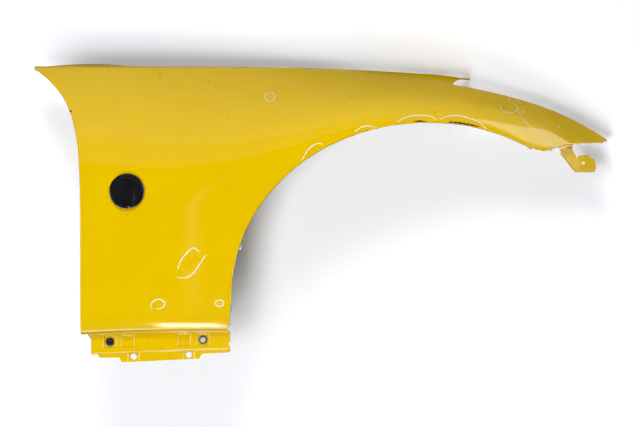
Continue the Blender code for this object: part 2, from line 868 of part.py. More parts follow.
def pad_seat(place, skin_rail, top_rail):
    """Centre of a pad's outer face, and the flange's outward normal."""
    x = flange_place(place)
    z = pad_top(x, top_rail) - pad_size / 2
    return Vector((x, flange_y(x, skin_rail) + pad_depth, z)), flange_outward(skin_rail)


def tab_seat(place, skin_rail, top_rail):
    x = flange_place(place)
    z = fold_z(x, top_rail) - tab_hole_drop
    y = flange_y(x, skin_rail) + lip_step + tab_recess_depth
    return Vector((x, y, z)), flange_outward(skin_rail)


# The badge holder, its face and its tape

def badge_frame():
    """Z points out of the car at the middle of the badge, X forward."""
    x = badge_position
    z = badge_height
    return frame_matrix(skin_point(x, z), Vector((1, 0, 0)), skin_normal(x, z))


def make_badge(base_material, face_material, tape_material):
    frame = badge_frame()
    seat = fit_gap + badge_tape + fit_gap
    bm = bmesh.new()
    outer = badge_radius
    inner = badge_radius - badge_rim
    top = seat + badge_depth
    floor = seat + badge_floor
    profile = [(0, seat), (outer - 0.0006, seat), (outer, seat + 0.0006), (outer, top - 0.0012),
               (outer - 0.0005, top - 0.0003), (outer - 0.0012, top), (inner + 0.0008, top),
               (inner, top - 0.0008), (inner, floor), (0, floor)]
    turned(bm, profile, frame, badge_steps)
    base = new_object("badge_base", bm, base_material)
    bm = bmesh.new()
    for side in (-1, 1):
        place = frame @ Matrix.Translation((side * peg_spacing / 2, 0, 0))
        add_peg(bm, place, peg_radius, -peg_length, floor - 0.0004)
    cut(base, new_object("badge_peg_shapes", bm), 'UNION')

    bm = bmesh.new()
    reach = inner - fit_gap
    low = floor + fit_gap
    rim = top - 0.0009
    profile = [(0, low), (reach, low), (reach, rim - 0.0004), (reach - 0.0004, rim)]
    for share in (0.93, 0.88, 0.84):
        groove = 0.0005 if share == 0.88 else 0
        profile.append((reach * share, rim + badge_dome * (1 - share ** 2) - groove))
    for share in (0.7, 0.5, 0.25):
        profile.append((reach * share, rim + badge_dome * (1 - share ** 2)))
    profile.append((0, rim + badge_dome))
    turned(bm, profile, frame, badge_steps)
    new_object("badge_face", bm, face_material)

    # Tape ring: flat outside, and following the skin on its back
    bm = bmesh.new()
    rings = []
    steps = badge_steps
    for radius in (peg_spacing / 2 + peg_radius + 0.001, badge_radius - 0.003):
        for front in (True, False):
            ring = []
            for i in range(steps):
                angle = 2 * math.pi * i / steps
                local = Vector((radius * math.cos(angle), radius * math.sin(angle), fit_gap + badge_tape))
                point = frame @ local
                if not front:
                    point = tape_back(point, frame)
                ring.append(bm.verts.new(point))
            rings.append(ring)
    inner_front, inner_back, outer_front, outer_back = rings
    for a, b in ((inner_front, outer_front), (outer_front, outer_back), (outer_back, inner_back),
                 (inner_back, inner_front)):
        quads_between(bm, a + a[:1], b + b[:1])
    bmesh.ops.recalc_face_normals(bm, faces=bm.faces)
    new_object("badge_pad", bm, tape_material)
    return base


def tape_back(point, frame):
    """Carries a point of the tape back along the badge's axis until it nearly meets the skin."""
    axis = (frame.to_3x3() @ Vector((0, 0, 1))).normalized()
    for _ in range(12):
        short = point.y - (float(depth(point.x, point.z)) - fit_gap - 0.0001)
        point = point + axis * short
    return point


# Spring nuts

def make_clip(name, seat, free_reach, material):
    """Folded spring nut pushed over the free edge of a flange, with a round thread barrel inside."""
    place, tangent, leg, bow = seat
    outside = tangent.cross(leg).normalized()
    if name.startswith("liner"):
        outside = outside if outside.dot(Vector((-place.x, 0, -place.z))) > 0 else -outside
    else:
        outside = outside if outside.z < 0 else -outside
    # Half the sheet lies to each side of its own middle plane
    middle = place - outside * sheet / 2
    gap = sheet / 2 + clip_gap + bow + clip_leaf / 2
    bm = bmesh.new()
    path = [(-clip_reach / 2, gap)]
    path.append((free_reach, gap))
    for turn in (45, 90, 135):
        angle = math.radians(turn)
        path.append((free_reach + gap * math.sin(angle), gap * math.cos(angle)))
    path.append((free_reach, -gap))
    path.append((-clip_reach / 2, -gap))
    rows = []
    for along, out in path:
        point = middle + leg * along + outside * out
        rows.append([bm.verts.new(point - tangent * clip_width / 2),
                     bm.verts.new(point + tangent * clip_width / 2)])
    for first, second in zip(rows, rows[1:]):
        quads_between(bm, first, second)
    bmesh.ops.recalc_face_normals(bm, faces=bm.faces)
    clip = new_object(name, bm, material)
    thickness = solid_sheet(clip, clip_leaf)
    thickness.offset = 0
    barrel_frame = frame_matrix(middle, tangent, -outside)
    bm = bmesh.new()
    add_peg(bm, barrel_frame, clip_barrel_radius, gap, gap + clip_barrel_length, 20)
    cut(clip, new_object(name + "_barrel", bm), 'UNION')
    bm = bmesh.new()
    add_peg(bm, barrel_frame, clip_bore_radius, -0.01, 0.01, 16)
    cut(clip, new_object(name + "_bore", bm))
    bm = bmesh.new()
    add_peg(bm, barrel_frame, clip_hole_radius, -sheet * 2, sheet * 2, 16)
    return new_object(name + "_hole", bm)


# Fasteners of the sill pads

def make_plug(name, seat, axis, material, recess, steps=round_steps):
    """Push-in fastener: wide head, shank through the pad and a flared end behind it."""
    frame = frame_matrix(seat, Vector((1, 0, 0)), axis)
    shank = pad_hole_radius - plug_shank_clearance
    head = plug_head_radius
    height = plug_head_height
    profile = [(0, fit_gap + 0.0002 - recess), (plug_recess_radius, fit_gap + 0.0002 - recess),
               (plug_recess_radius, height), (head - 0.0022, height), (head - 0.0007, height * 0.65),
               (head, height * 0.3), (head, fit_gap), (shank, fit_gap),
               (shank, -plug_shank_length * 0.7), (shank * 0.6, -plug_shank_length), (0, -plug_shank_length)]
    bm = bmesh.new()
    turned(bm, profile, frame, steps)
    return new_object(name, bm, material)


def make_rivet_pin(seat, axis, material, recess):
    frame = frame_matrix(seat, Vector((1, 0, 0)), axis)
    foot = fit_gap + 0.0002 - recess + fit_gap
    top = plug_head_height + fit_gap
    profile = [(0, foot), (rivet_pin_radius, foot), (rivet_pin_radius, top),
               (rivet_pin_head_radius, top), (rivet_pin_head_radius, top + 0.0006),
               (rivet_pin_head_radius - 0.0006, top + 0.0011), (0, top + 0.0013)]
    bm = bmesh.new()
    turned(bm, profile, frame, 20)
    return new_object("sill_rivet_pin", bm, material)


# Front bracket

def make_bracket(frames, material):
    """Folded strip: seat under the seam flange, arm that hangs forward, and an end tab with a hole."""
    offset = bracket_gap + bracket_sheet / 2
    bm = bmesh.new()
    rows = []

    def seat_row(reach, drop, narrowing=0.0):
        row = []
        for share, (place, tangent, leg) in zip((-1, -0.5, 0, 0.5, 1), frames):
            down = tangent.cross(leg).normalized()
            if down.z > 0:
                down.negate()
            point = place + leg * reach + down * (offset + drop) - tangent * share * narrowing
            row.append(bm.verts.new(point))
        rows.append(row)

    seat_row(bracket_seat_start, 0, 0.0025)
    seat_row(bracket_seat_start + 0.002, 0)
    seat_row(bracket_seat_end, 0)
    for turn in (30, 60, 90):
        angle = math.radians(turn)
        seat_row(bracket_seat_end + bracket_bend * math.sin(angle), bracket_bend * (1 - math.cos(angle)))
    root = rows[-1][2].co.copy()

    def arm_point(ahead, drop):
        return Vector((root.x + ahead, root.y + bracket_arm_slope * ahead, root.z - drop))

    for drop, rear, front in bracket_arm:
        rows.append([bm.verts.new(arm_point((rear + (front - rear) * share) * bracket_arm_reach,
                                            drop * bracket_arm_length))
                     for share in (0, 0.25, 0.5, 0.75, 1)])
    for first, second in zip(rows, rows[1:]):
        quads_between(bm, first, second)

    # Stiffening hem down the rear edge of the arm
    hem_rail = [row[0] for row in rows[7:]]
    turn = Vector((-bracket_hem_flare, bracket_hem, 0))
    quads_between(bm, hem_rail, [bm.verts.new(vert.co + turn) for vert in hem_rail])

    # End tab ahead of the arm: its face looks straight out, its lips turn inboard
    fold = [row[-1] for row in rows[-4:]]
    face_y = fold[1].co.y + bracket_arm_slope * bracket_tab_bend
    grid = [fold]
    lip = (0, 0, 0, bracket_lip_turn)
    for reach in (bracket_tab_bend, bracket_tab_flat):
        grid.append([bm.verts.new((vert.co.x + reach, face_y + inboard, vert.co.z))
                     for vert, inboard in zip(fold, lip)])
    corner_drop = (0.002, 0, 0, -0.001)
    grid.append([bm.verts.new((root.x + bracket_arm_reach + reach, face_y + inboard, vert.co.z - drop))
                 for vert, inboard, reach, drop in zip(fold, lip, bracket_tab_reach, corner_drop)])
    grid[2][0].co.z += bracket_tab_lift
    for first, second in zip(grid, grid[1:]):
        quads_between(bm, first, second)
    top_edge = [grid[1][0], grid[2][0]]
    turn = Vector((0, bracket_lip_turn, bracket_tab_upper_lip))
    quads_between(bm, top_edge, [bm.verts.new(vert.co + turn) for vert in top_edge])

    bmesh.ops.recalc_face_normals(bm, faces=bm.faces)
    hole_centre = (grid[1][1].co + grid[2][1].co) / 2 - Vector((0.002, 0, 0))
    bracket = new_object("front_bracket", bm, material)
    solid_sheet(bracket, bracket_sheet).offset = 0
    bm = bmesh.new()
    add_peg(bm, frame_matrix(hole_centre, Vector((1, 0, 0)), Vector((0, -1, 0))), bracket_hole_radius,
            -0.006, 0.006, 20)
    cut(bracket, new_object("bracket_hole_shape", bm))
    return bracket


def clear_scene():
    for obj in list(bpy.data.objects):
        bpy.data.objects.remove(obj, do_unlink=True)


def build():
    global datum
    clear_scene()
    datum = bpy.data.objects.new("datum", None)
    bpy.context.collection.objects.link(datum)
    yellow = new_material("yellow_paint", (0.79, 0.51, 0.0), 0.0, 0.3, 1.0)
    bracket_paint = new_material("bracket_paint", (0.74, 0.47, 0.01), 0.0, 0.4, 0.5)
    gloss_black = new_material("gloss_black", (0.01, 0.01, 0.012), 0.0, 0.12)
    face_black = new_material("face_black", (0.014, 0.014, 0.017), 0.0, 0.1)
    foam = new_material("foam_tape", (0.05, 0.05, 0.05), 0.0, 0.9)
    rubber = new_material("black_grommet", (0.015, 0.015, 0.015), 0.0, 0.5)
    grey = new_material("grey_nylon", (0.35, 0.37, 0.38), 0.0, 0.4)
    pin_grey = new_material("pin_nylon", (0.45, 0.46, 0.47), 0.0, 0.4)

    panel, places = make_panel(yellow)
    hole_mesh = bmesh.new()
    make_badge(gloss_black, face_black, foam)
    frame = badge_frame()
    for side in (-1, 1):
        place = frame @ Matrix.Translation((side * peg_spacing / 2, 0, 0))
        add_peg(hole_mesh, place, peg_radius + fit_gap, -0.008, 0.008)
    for centre, along, normal in places["ledge"]:
        add_peg(hole_mesh, frame_matrix(centre, along, normal), ledge_hole_radius, -0.004, 0.004, 20)
    centre, normal, up = places["tab"]
    add_peg(hole_mesh, frame_matrix(centre, up, normal), ledge_hole_radius, -0.004, 0.004, 20)
    for index, (seat, outward) in enumerate(places["pads"]):
        if index in (0, len(pad_places) - 1):
            frame = frame_matrix(seat, Vector((1, 0, 0)), outward)
            add_peg(hole_mesh, frame, pad_hole_radius, -0.004, 0.004, 20)
    for seat, outward in places["tab_holes"]:
        frame = frame_matrix(seat, Vector((1, 0, 0)), outward)
        add_peg(hole_mesh, frame, tab_hole_radius, -0.004, 0.004, 24)
    point, tangent, leg = places["lamp"]
    frame = frame_matrix(point, tangent, tangent.cross(leg))
    add_peg(hole_mesh, frame, lamp_hole_radius, -0.004, 0.004, 16)
    cut(panel, new_object("panel_holes", hole_mesh))

    rear_seat, outward = places["pads"][0]
    front_seat, _ = places["pads"][-1]
    make_plug("sill_grommet", rear_seat, outward, rubber, 0.0015)
    recess = 0.0006
    make_plug("sill_rivet_body", front_seat, outward, grey, recess)
    make_rivet_pin(front_seat, outward, pin_grey, recess)

    make_bracket(places["bracket"], bracket_paint)

    clips = (("liner_clip_upper", places["arch"], arch_lip),
             ("liner_clip_lower", places["foot"], arch_lip),
             ("bumper_clip_rear", places["seam"][0], seam_flange),
             ("bumper_clip_front", places["seam"][1], seam_flange))
    for name, seat, flange in clips:
        free_reach = flange * (1 - clip_seat) + fit_gap
        zinc = new_material(name + "_zinc", (0.42, 0.46, 0.52), 1.0, 0.35)
        hole = make_clip(name, seat, free_reach, zinc)
        cut(panel, hole)

    # The part's origin is the middle of the blank front pad
    origin, _ = places["pads"][2]
    datum.location = -origin
    print("origin at", tuple(round(v, 5) for v in origin))
    print("triangles", len(panel.data.polygons))


build()
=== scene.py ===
from math import acos, cos, exp, hypot, pi, radians, sin

import bmesh
import bpy
import numpy as np
from mathutils import Matrix, Vector


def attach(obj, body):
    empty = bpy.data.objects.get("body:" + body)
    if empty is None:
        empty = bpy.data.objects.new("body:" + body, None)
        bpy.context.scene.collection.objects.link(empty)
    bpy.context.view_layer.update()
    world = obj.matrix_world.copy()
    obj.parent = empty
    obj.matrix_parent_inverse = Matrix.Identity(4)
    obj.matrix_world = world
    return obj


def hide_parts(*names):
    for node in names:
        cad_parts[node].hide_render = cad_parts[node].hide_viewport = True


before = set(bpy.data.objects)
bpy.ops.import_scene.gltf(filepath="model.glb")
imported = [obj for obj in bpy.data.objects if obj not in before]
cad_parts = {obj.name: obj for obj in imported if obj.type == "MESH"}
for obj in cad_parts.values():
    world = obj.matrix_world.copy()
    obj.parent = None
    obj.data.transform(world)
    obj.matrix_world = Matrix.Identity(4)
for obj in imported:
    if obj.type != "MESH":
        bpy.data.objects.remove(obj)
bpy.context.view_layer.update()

print("stage: frame loaded")

# The skin's lines and surface as in the CAD part, in its design coordinates
body = {
    "sheet": 0.0008,
    "edgeRadius": 0.0025,
    "archHalf": 0.3545, "archRise": 0.3105,
    "footSpread": 0.005,
    "cornerAngle": 56.5,
    "rearLength": 0.630,
    "tipSweep": 0.0995,
    "doorPower": 7.6,
    "frontLength": 0.3336,
    "tipHeight": 0.2805, "tipWidth": 0.003,
    "crestHeight": 0.421,
    "sillHeight": 0.0677, "sillDip": 0.0079,
    "notchX": 0.0492, "notchZ": 0.3839, "notchSpacing": 0.0024,
    "tongueLength": 0.037,
    "widest": -0.060,
    "noseSweep": 0.01286, "noseRoll": 0.06403,
    "tuck": 0.007, "tuckHeight": 0.055, "tuckStart": -0.012,
    "crestDrop": 0.1405,
    "crownReach": 0.192, "crownHeight": 0.275, "crownPower": 2.5,
    "stations": ((-1.00, 0.0, 0.667, 0.909), (-0.68, 0.0, 0.807, 1.0), (-0.36, 0.007, 0.969, 0.727),
                 (-0.18, 0.036, 1.0, 0.491), (0.00, 0.0925, 0.969, 0.407), (0.18, 0.142, 0.906, 0.382),
                 (0.39, 0.292, 0.740, 0.345), (0.66, 0.541, 0.458, 0.309), (1.00, 1.0, 0.146, 0.273)),
    "lampSweep": ((0, 0), (0.309, 0.172), (0.566, 0.382), (0.826, 0.704), (0.955, 0.919), (1, 1)),
    "seamSweep": ((0, 0), (0.067, 0.01), (0.162, 0.16), (0.256, 0.355), (0.394, 0.625), (0.535, 0.755),
                  (0.75, 0.853), (1, 0.93)),
    "columns": {"sill": 56, "foot": 8, "arch": 120, "seam": 40, "tongue": 18},
    "rows": {"low": 46, "high": 30},
    "relief": 0.009, "lean": 0.058, "shift": 0.012,
    "archLip": 0.012,
    "doorFlange": 0.014, "lampFlange": 0.011,
    "seamFlange": 0.018, "seamRise": 0.10,
    "tongueFlange": 0.003,
    "tongueLip": 0.0034, "tongueReach": 0.58,
    "tongueLift": 0.0050, "tongueSlant": 0.001,
    "doorTab": {"height": 0.352, "reach": 0.024, "taper": 0.005},
    "boltHole": 0.0045, "lampHole": 0.003, "lampHolePlace": 0.55,
    "levelFrom": 0.50, "levelOver": 0.12,
}

ledge = {
    "width": 0.024, "drop": 0.010,
    "rise": 0.016, "riseShare": 0.135, "humpShare": 0.45,
    "wallWidth": 0.0065, "spread": 0.145,
    "fade": {"share": 0.92, "before": 0.02, "over": 0.026},
    "shadedTo": (250, 67),
    "holes": (0.166, 0.43, 0.693, 0.95),
    "wall": ((0.10, 0.02), (0.17, 0.06), (0.24, 0.13), (0.28, 0.22), (0.28, 0.72), (0.36, 0.87),
             (0.52, 0.95), (1.0, 1.0)),
}

sill = {
    "joggle": 0.010, "radius": 0.0015,
    "rearInset": 0.013, "rearSlant": 0.0055,
    "rearDip": 0.0085, "dipLength": 0.0215,
    "frontReach": 0.0045,
    "heightRear": 0.0315, "heightFront": 0.0285,
    "padSize": 0.0255, "padBevel": 0.0036,
    "padCorner": 0.0048, "padDepth": 0.0034, "padGap": 0.0015,
    "pads": (0.0345, 0.0676, -0.0841, -0.0495),
    "step": 0.0015, "stepHeight": 0.0022,
    "groove": 0.0008, "grooveDrop": 0.0036, "grooveHalf": 0.0013,
    "tabs": (0.0777, -0.0752),
    "tabHole": 0.0054, "tabWidth": 0.0235,
    "tabBevel": 0.0035, "tabDepth": 0.0025,
    "tabDrop": 0.0105, "tabFoot": 0.0026,
    "dimples": ((141.4, 2.6, 0.0007), (166.5, 2.2, 0.0004)),
    "dimpleDrop": 0.0155,
    "outline": ((0.0, 0.0038), (0.0127, 0.0038), (0.0152, 0.0098), (0.0516, 0.0112), (0.0561, 0.0187),
                (0.0617, 0.0197), (-0.0564, 0.0184), (-0.0518, 0.0098), (-0.0038, 0.0088), (-0.0012, 0.0074)),
    "bite": 0.0030, "biteHalf": 0.0034,
    "biteDrop": 0.0215, "biteReach": 0.012,
    "columns": 236,
    "rows": 84,
}


def spline(points):
    """Cubic through the points with no bend at its ends."""
    xs, ys = np.array(points, float).T
    n = len(xs)
    h = np.diff(xs)
    slope = np.diff(ys) / h
    system = np.eye(n)
    right = np.zeros(n)
    for i in range(1, n - 1):
        system[i, i - 1:i + 2] = h[i - 1], 2 * (h[i - 1] + h[i]), h[i]
        right[i] = 6 * (slope[i] - slope[i - 1])
    bend = np.linalg.solve(system, right)

    def value(x):
        x = np.clip(np.asarray(x, float), xs[0], xs[-1])
        i = np.clip(np.searchsorted(xs, x) - 1, 0, n - 2)
        a = (xs[i + 1] - x) / h[i]
        b = (x - xs[i]) / h[i]
        curve = ((a ** 3 - a) * bend[i] + (b ** 3 - b) * bend[i + 1]) * h[i] ** 2 / 6
        return a * ys[i] + b * ys[i + 1] + curve

    return value


rearReach = body["rearLength"] + body["tipSweep"]
frontLength = body["frontLength"]
notchX, notchZ = body["notchX"], body["notchZ"]
flangeStart = -(body["rearLength"] - sill["rearInset"])


def stationX(share):
    return share * (rearReach if share < 0 else frontLength)


crestDrop, crownReach, crownHeight = (
    spline([(stationX(station[0]), station[i] * body[key]) for station in body["stations"]])
    for i, key in ((1, "crestDrop"), (2, "crownReach"), (3, "crownHeight")))
lampShape = spline(body["lampSweep"])
seamShape = spline(body["seamSweep"])


def crest(x):
    return body["crestHeight"] - crestDrop(x)


def depth(x, z):
    """How far inboard the smooth skin lies."""
    past = (x - body["widest"]) / (frontLength - body["widest"])
    ahead = np.maximum(past, 0)
    side = body["noseSweep"] * past ** 2 + body["noseRoll"] * ahead ** 3
    climb = np.maximum(1 - (crest(x) - z) / crownHeight(x), 0)
    tuck = np.maximum((body["tuckStart"] - z) / body["tuckHeight"], 0)
    return side + crownReach(x) * climb ** body["crownPower"] + body["tuck"] * tuck ** 3


radius = body["edgeRadius"]
doorX = -(body["rearLength"] - radius)
footX = -(body["archHalf"] + body["footSpread"] + radius)
sillZ = -(body["sillHeight"] - radius)
flangeRear = flangeStart + sill["rearSlant"]
flangeFront = footX + sill["frontReach"]


def sillLine(x):
    share = np.maximum((footX - x) / (footX - doorX), 0)
    return sillZ - body["sillDip"] * share ** 2.3


def archLine(angle):
    return (body["archHalf"] + radius) * cos(angle), (body["archRise"] + radius) * sin(angle)


cornerAngle = radians(body["cornerAngle"])
cornerX, cornerZ = archLine(cornerAngle)


def footLine(z):
    return -(body["archHalf"] + radius) + body["footSpread"] * z / -sillZ, z


def lampLine(x):
    share = (x - notchX) / (frontLength - notchX)
    end = body["tipHeight"] + body["tipWidth"] / 2
    return notchZ + (end - notchZ) * lampShape(share)


def seamLine(x):
    share = (x - cornerX) / (frontLength - cornerX)
    return cornerZ + (body["tipHeight"] - cornerZ) * seamShape(share)


def flangePlace(distance):
    return distance + (flangeFront if distance < 0 else flangeRear)


def flangeY(x):
    rear = depth(flangeStart, sillLine(flangeStart))
    front = depth(footX, sillLine(footX))
    return rear + (front - rear) * (x - flangeStart) / (footX - flangeStart) + sill["joggle"]


def rearDip(x):
    return sill["rearDip"] * np.clip(1 - (x - flangeRear) / sill["dipLength"], 0, 1)


def flangeTop(x):
    return sillLine(x) - 2 * sill["radius"] - rearDip(x)


def foldZ(x):
    rear = sillLine(flangeRear) - 2 * sill["radius"] - sill["heightRear"]
    front = sillLine(footX) - 2 * sill["radius"] - sill["heightFront"]
    return rear + (front - rear) * (x - flangeRear) / (footX - flangeRear)


def padMiddle(place):
    x = flangePlace(place)
    return Vector((x, flangeY(x) + sill["padDepth"],
                   flangeTop(x) - sill["padGap"] - sill["padSize"] / 2))


# Design coordinates to the row's frame: its origin is the blank front pad
datum = -padMiddle(sill["pads"][2])
sideways = Vector((1, 0, 0))

# How the picture's pixels lie on the design coordinates
picture = {
    "middle": (-0.19512, 0.14634), "metresPerPixel": 0.0018,
    "distance": 4.5, "centre": (320, 213.5),
    "rounds": 14,
}
pixel = picture["metresPerPixel"]


def flatPlace(px, py, shape=depth):
    """The x and z that the picture shows at a pixel, for a surface."""
    y = 0.0
    for _ in range(picture["rounds"]):
        size = pixel * (1 + y / picture["distance"])
        x = picture["middle"][0] + (px - picture["centre"][0]) * size
        z = picture["middle"][1] + (picture["centre"][1] - py) * size
        y = shape(x, z)
    return x, z


def fromPicture(px, py, lift=0.0):
    """The place on the dinged skin at a pixel."""
    x, z = flatPlace(px, py, surface)
    return Vector((x, surface(x, z), z)) + surfaceNormal(x, z) * lift


# Shallow dings inside the marks drawn on the panel: pixels of place and radius, and depth
dings = ((269.8, 96.9, 4.5, 0.00035), (312, 151, 8, 0.0005), (366, 130, 7, 0.0004), (416, 120, 8, 0.0004),
         (463, 121, 9, 0.0004), (192, 262, 8, 0.0005), (157, 303, 5, 0.0004), (219, 303, 3, 0.0003),
         (508, 106, 6, 0.0004))
dingPlaces = [(*flatPlace(px, py), size * pixel, deep) for px, py, size, deep in dings]

# Soft crease that bounds the front crown from below, along picture pixels
crease = {
    "line": ((330, 98.5), (372, 98.7), (405, 99.5), (440, 101), (463, 102.5), (475, 104.5), (500, 110),
             (516, 115), (535, 123.5), (551, 131), (576, 146)),
    "height": 0.0030, "spread": 0.012, "round": 0.0015,
    "fade": (335, 385),
}
creaseLine = spline([flatPlace(px, py) for px, py in crease["line"]])
creaseFade = [flatPlace(px, 99)[0] for px in crease["fade"]]


def surface(x, z):
    """The skin with its dings and the crease of its front crown."""
    away = np.hypot(z - creaseLine(x), crease["round"]) - crease["round"]
    grown = np.clip((x - creaseFade[0]) / (creaseFade[1] - creaseFade[0]), 0, 1)
    y = depth(x, z) - crease["height"] * grown * np.exp(-away / crease["spread"])
    for dx, dz, size, deep in dingPlaces:
        y = y + deep * np.exp(-((x - dx) ** 2 + (z - dz) ** 2) / (0.5 * size ** 2))
    return y


def surfaceNormal(x, z):
    step = 0.0005
    along = (surface(x + step, z) - surface(x - step, z)) / (2 * step)
    up = (surface(x, z + step) - surface(x, z - step)) / (2 * step)
    return Vector((along, -1, up)).normalized()


# Grid of the skin

def skinColumns():
    count = body["columns"]
    relief = body["relief"]
    xs = [doorX, *np.linspace(doorX, flangeStart, 5)[1:-1], *np.linspace(flangeStart, footX, count["sill"])]
    lowers = [(x, sillLine(x)) for x in xs]
    sillCount = len(lowers)
    lowers += [footLine(z) for z in np.linspace(sillZ + relief, 0, count["foot"] + 1)]
    angles = np.linspace(pi, cornerAngle + relief / body["archHalf"], count["arch"] + 1)
    lowers += [archLine(angle) for angle in angles[1:]]
    corner = len(lowers)
    xs = [*np.linspace(cornerX + relief, frontLength - relief, count["seam"]),
          *(frontLength - relief + relief * share for share in (0.35, 0.65))]
    lowers += [(cornerX, cornerZ), *((x, seamLine(x)) for x in xs),
               (frontLength - body["tipWidth"] / 4, seamLine(frontLength))]
    last = len(lowers) - 1
    tops, sweeps = [], []
    shoulder = footX - body["lean"] - body["shift"]
    for i, (x, _) in enumerate(lowers):
        share = (x - doorX) / (footX - doorX) if i < sillCount else 1
        sweeps.append(1 - share)
        lean = min(max(-x / body["archHalf"], 0), 1) ** 2
        tops.append(-rearReach + (shoulder + rearReach) * share if i < sillCount
                    else x - body["shift"] - body["lean"] * lean)
    notch = next(i for i, x in enumerate(tops) if x > notchX)
    # Columns behind the notch lean over it, so their tops move back to keep clear
    high = crest(notchX)
    for i in range(notch - 12, notch):
        share = (high - notchZ) / (high - lowers[i][1])
        limit = notchX - body["notchSpacing"] * (notch - i)
        tops[i] = min(tops[i], (limit - lowers[i][0] * share) / (1 - share))
    for i in range(notch, last):
        tops[i] = notchX + (frontLength - relief * 0.4 - notchX) * ((i - notch) / (last - 1 - notch))
    tops[last] = frontLength
    uppers = [(x, crest(x) if i < notch else lampLine(x)) for i, x in enumerate(tops)]
    return list(zip(lowers, uppers, sweeps)), notch, corner, sillCount


def lengthAlong(x, z):
    """Running length over the skin."""
    steps = np.sqrt(np.diff(x) ** 2 + np.diff(depth(x, z)) ** 2 + np.diff(z) ** 2)
    return np.concatenate(([0], np.cumsum(steps)))


def skinRow(bm, lower, upper, sweep, shares):
    """Vertices over the skin from a lower to an upper place, at shares of the length."""
    climb = np.linspace(0, 1, 121)
    x = lower[0] + (upper[0] - lower[0]) * climb
    z = lower[1] + (upper[1] - lower[1]) * climb
    x = x + sweep * (body["tipSweep"] + radius) * (climb - climb ** body["doorPower"])
    length = lengthAlong(x, z)
    where = np.interp(np.array(shares) * length[-1], length, climb)
    px = np.interp(where, climb, x)
    pz = np.interp(where, climb, z)
    return [bm.verts.new(place) for place in zip(px, surface(px, pz), pz)]


def columnLength(lower, upper):
    return lengthAlong(*np.linspace(lower, upper, 61).T)[-1]


def quadsBetween(bm, first, second):
    for a, b, c, d in zip(first, first[1:], second[1:], second):
        bm.faces.new((a, b, c, d))


def quadRows(bm, rows):
    for lower, upper in zip(rows, rows[1:]):
        quadsBetween(bm, lower, upper)


def faceFront(bm, chosen=slice(None)):
    """Turns all faces alike, so that the chosen ones look out of the panel's front."""
    bmesh.ops.recalc_face_normals(bm, faces=bm.faces)
    bm.faces.ensure_lookup_table()
    if sum(face.normal.y for face in list(bm.faces)[chosen]) > 0:
        bmesh.ops.reverse_faces(bm, faces=bm.faces)


def chord(points, i):
    return points[min(i + 1, len(points) - 1)] - points[max(i - 1, 0)]


def foldFlange(bm, rail, hint, legWay, length, bend=radius, steps=6, legRows=2):
    """A round bend from a rail, then a straight leg."""
    rows = [rail] + [[] for _ in range(steps + legRows)]
    origins = [vert.co.copy() for vert in rail]
    for i, origin in enumerate(origins):
        normal = surfaceNormal(origin.x, origin.z)
        out = normal.cross(chord(origins, i).normalized()).normalized()
        if out.dot(hint(origin)) < 0:
            out.negate()
        leg = legWay(-normal).normalized()
        side = (leg - out * leg.dot(out)).normalized()
        angle = acos(leg.dot(out))
        for step in range(1, steps + 1):
            turn = angle * step / steps
            point = origin + out * bend * sin(turn) + side * bend * (1 - cos(turn))
            rows[step].append(bm.verts.new(point))
        for step in range(1, legRows + 1):
            rows[steps + step].append(bm.verts.new(point + leg * length * step / legRows))
    quadRows(bm, rows)
    return rows


def towards(x, y, z):
    way = Vector((x, y, z))
    return lambda _: way


def towardsArch(point):
    return Vector((-point.x, 0, -point.z))


def doorLeg(inboard):
    """Square to the skin, but level where the crown leans back."""
    level = 1 - smooth((abs(inboard.z) - body["levelFrom"]) / body["levelOver"])
    return Vector((inboard.x, inboard.y, inboard.z * level))


def hump(x):
    centre = -rearReach + (notchX + rearReach) * ledge["riseShare"]
    return exp(-((x - centre) / ledge["spread"]) ** 2)


def ledgeFade(x):
    """Share of the drop behind the crest: little is left behind the tongue."""
    fade = ledge["fade"]
    return 1 - fade["share"] * smooth((x - notchX + fade["before"]) / fade["over"])


def hoodLedge(bm, rail):
    rows = [rail]
    for reach, fall in ledge["wall"]:
        row = []
        for vert in rail:
            drop = ledge["drop"] * (1 - ledge["humpShare"] * hump(vert.co.x)) * fall * ledgeFade(vert.co.x)
            row.append(bm.verts.new(vert.co + Vector((0, reach * ledge["wallWidth"], -drop))))
        rows.append(row)
    for share in (0.5, 1.0):
        row = []
        for vert, wall in zip(rail, rows[len(ledge["wall"])]):
            rise = ledge["rise"] * hump(vert.co.x) - ledge["drop"] * ledgeFade(vert.co.x)
            end = vert.co + Vector((0, ledge["width"], rise))
            row.append(bm.verts.new(wall.co.lerp(end, share)))
        rows.append(row)
    quadRows(bm, rows)
    return rows


def nearest(rail, axis, value):
    return min(range(len(rail)), key=lambda i: abs(rail[i].co[axis] - value))


def doorTab(bm, rows):
    """Bolt tab that reaches inboard from the door flange."""
    tab = body["doorTab"]
    middle = nearest(rows[0], 2, tab["height"])
    low = rows[-1][middle - 2]
    high = rows[-1][middle + 3]
    leg = (low.co - rows[-2][middle - 2].co).normalized()
    up = (high.co - low.co).normalized()
    edge = rows[-1][middle - 2:middle + 4]
    outer = []
    for vert in edge:
        share = (vert.co - low.co).dot(up) / (high.co - low.co).length
        outer.append(bm.verts.new(vert.co + leg * tab["reach"] + up * tab["taper"] * (1 - 2 * share)))
    quadsBetween(bm, edge, outer)
    centre = (low.co + high.co + outer[0].co + outer[-1].co) / 4
    return centre, leg.cross(up), up


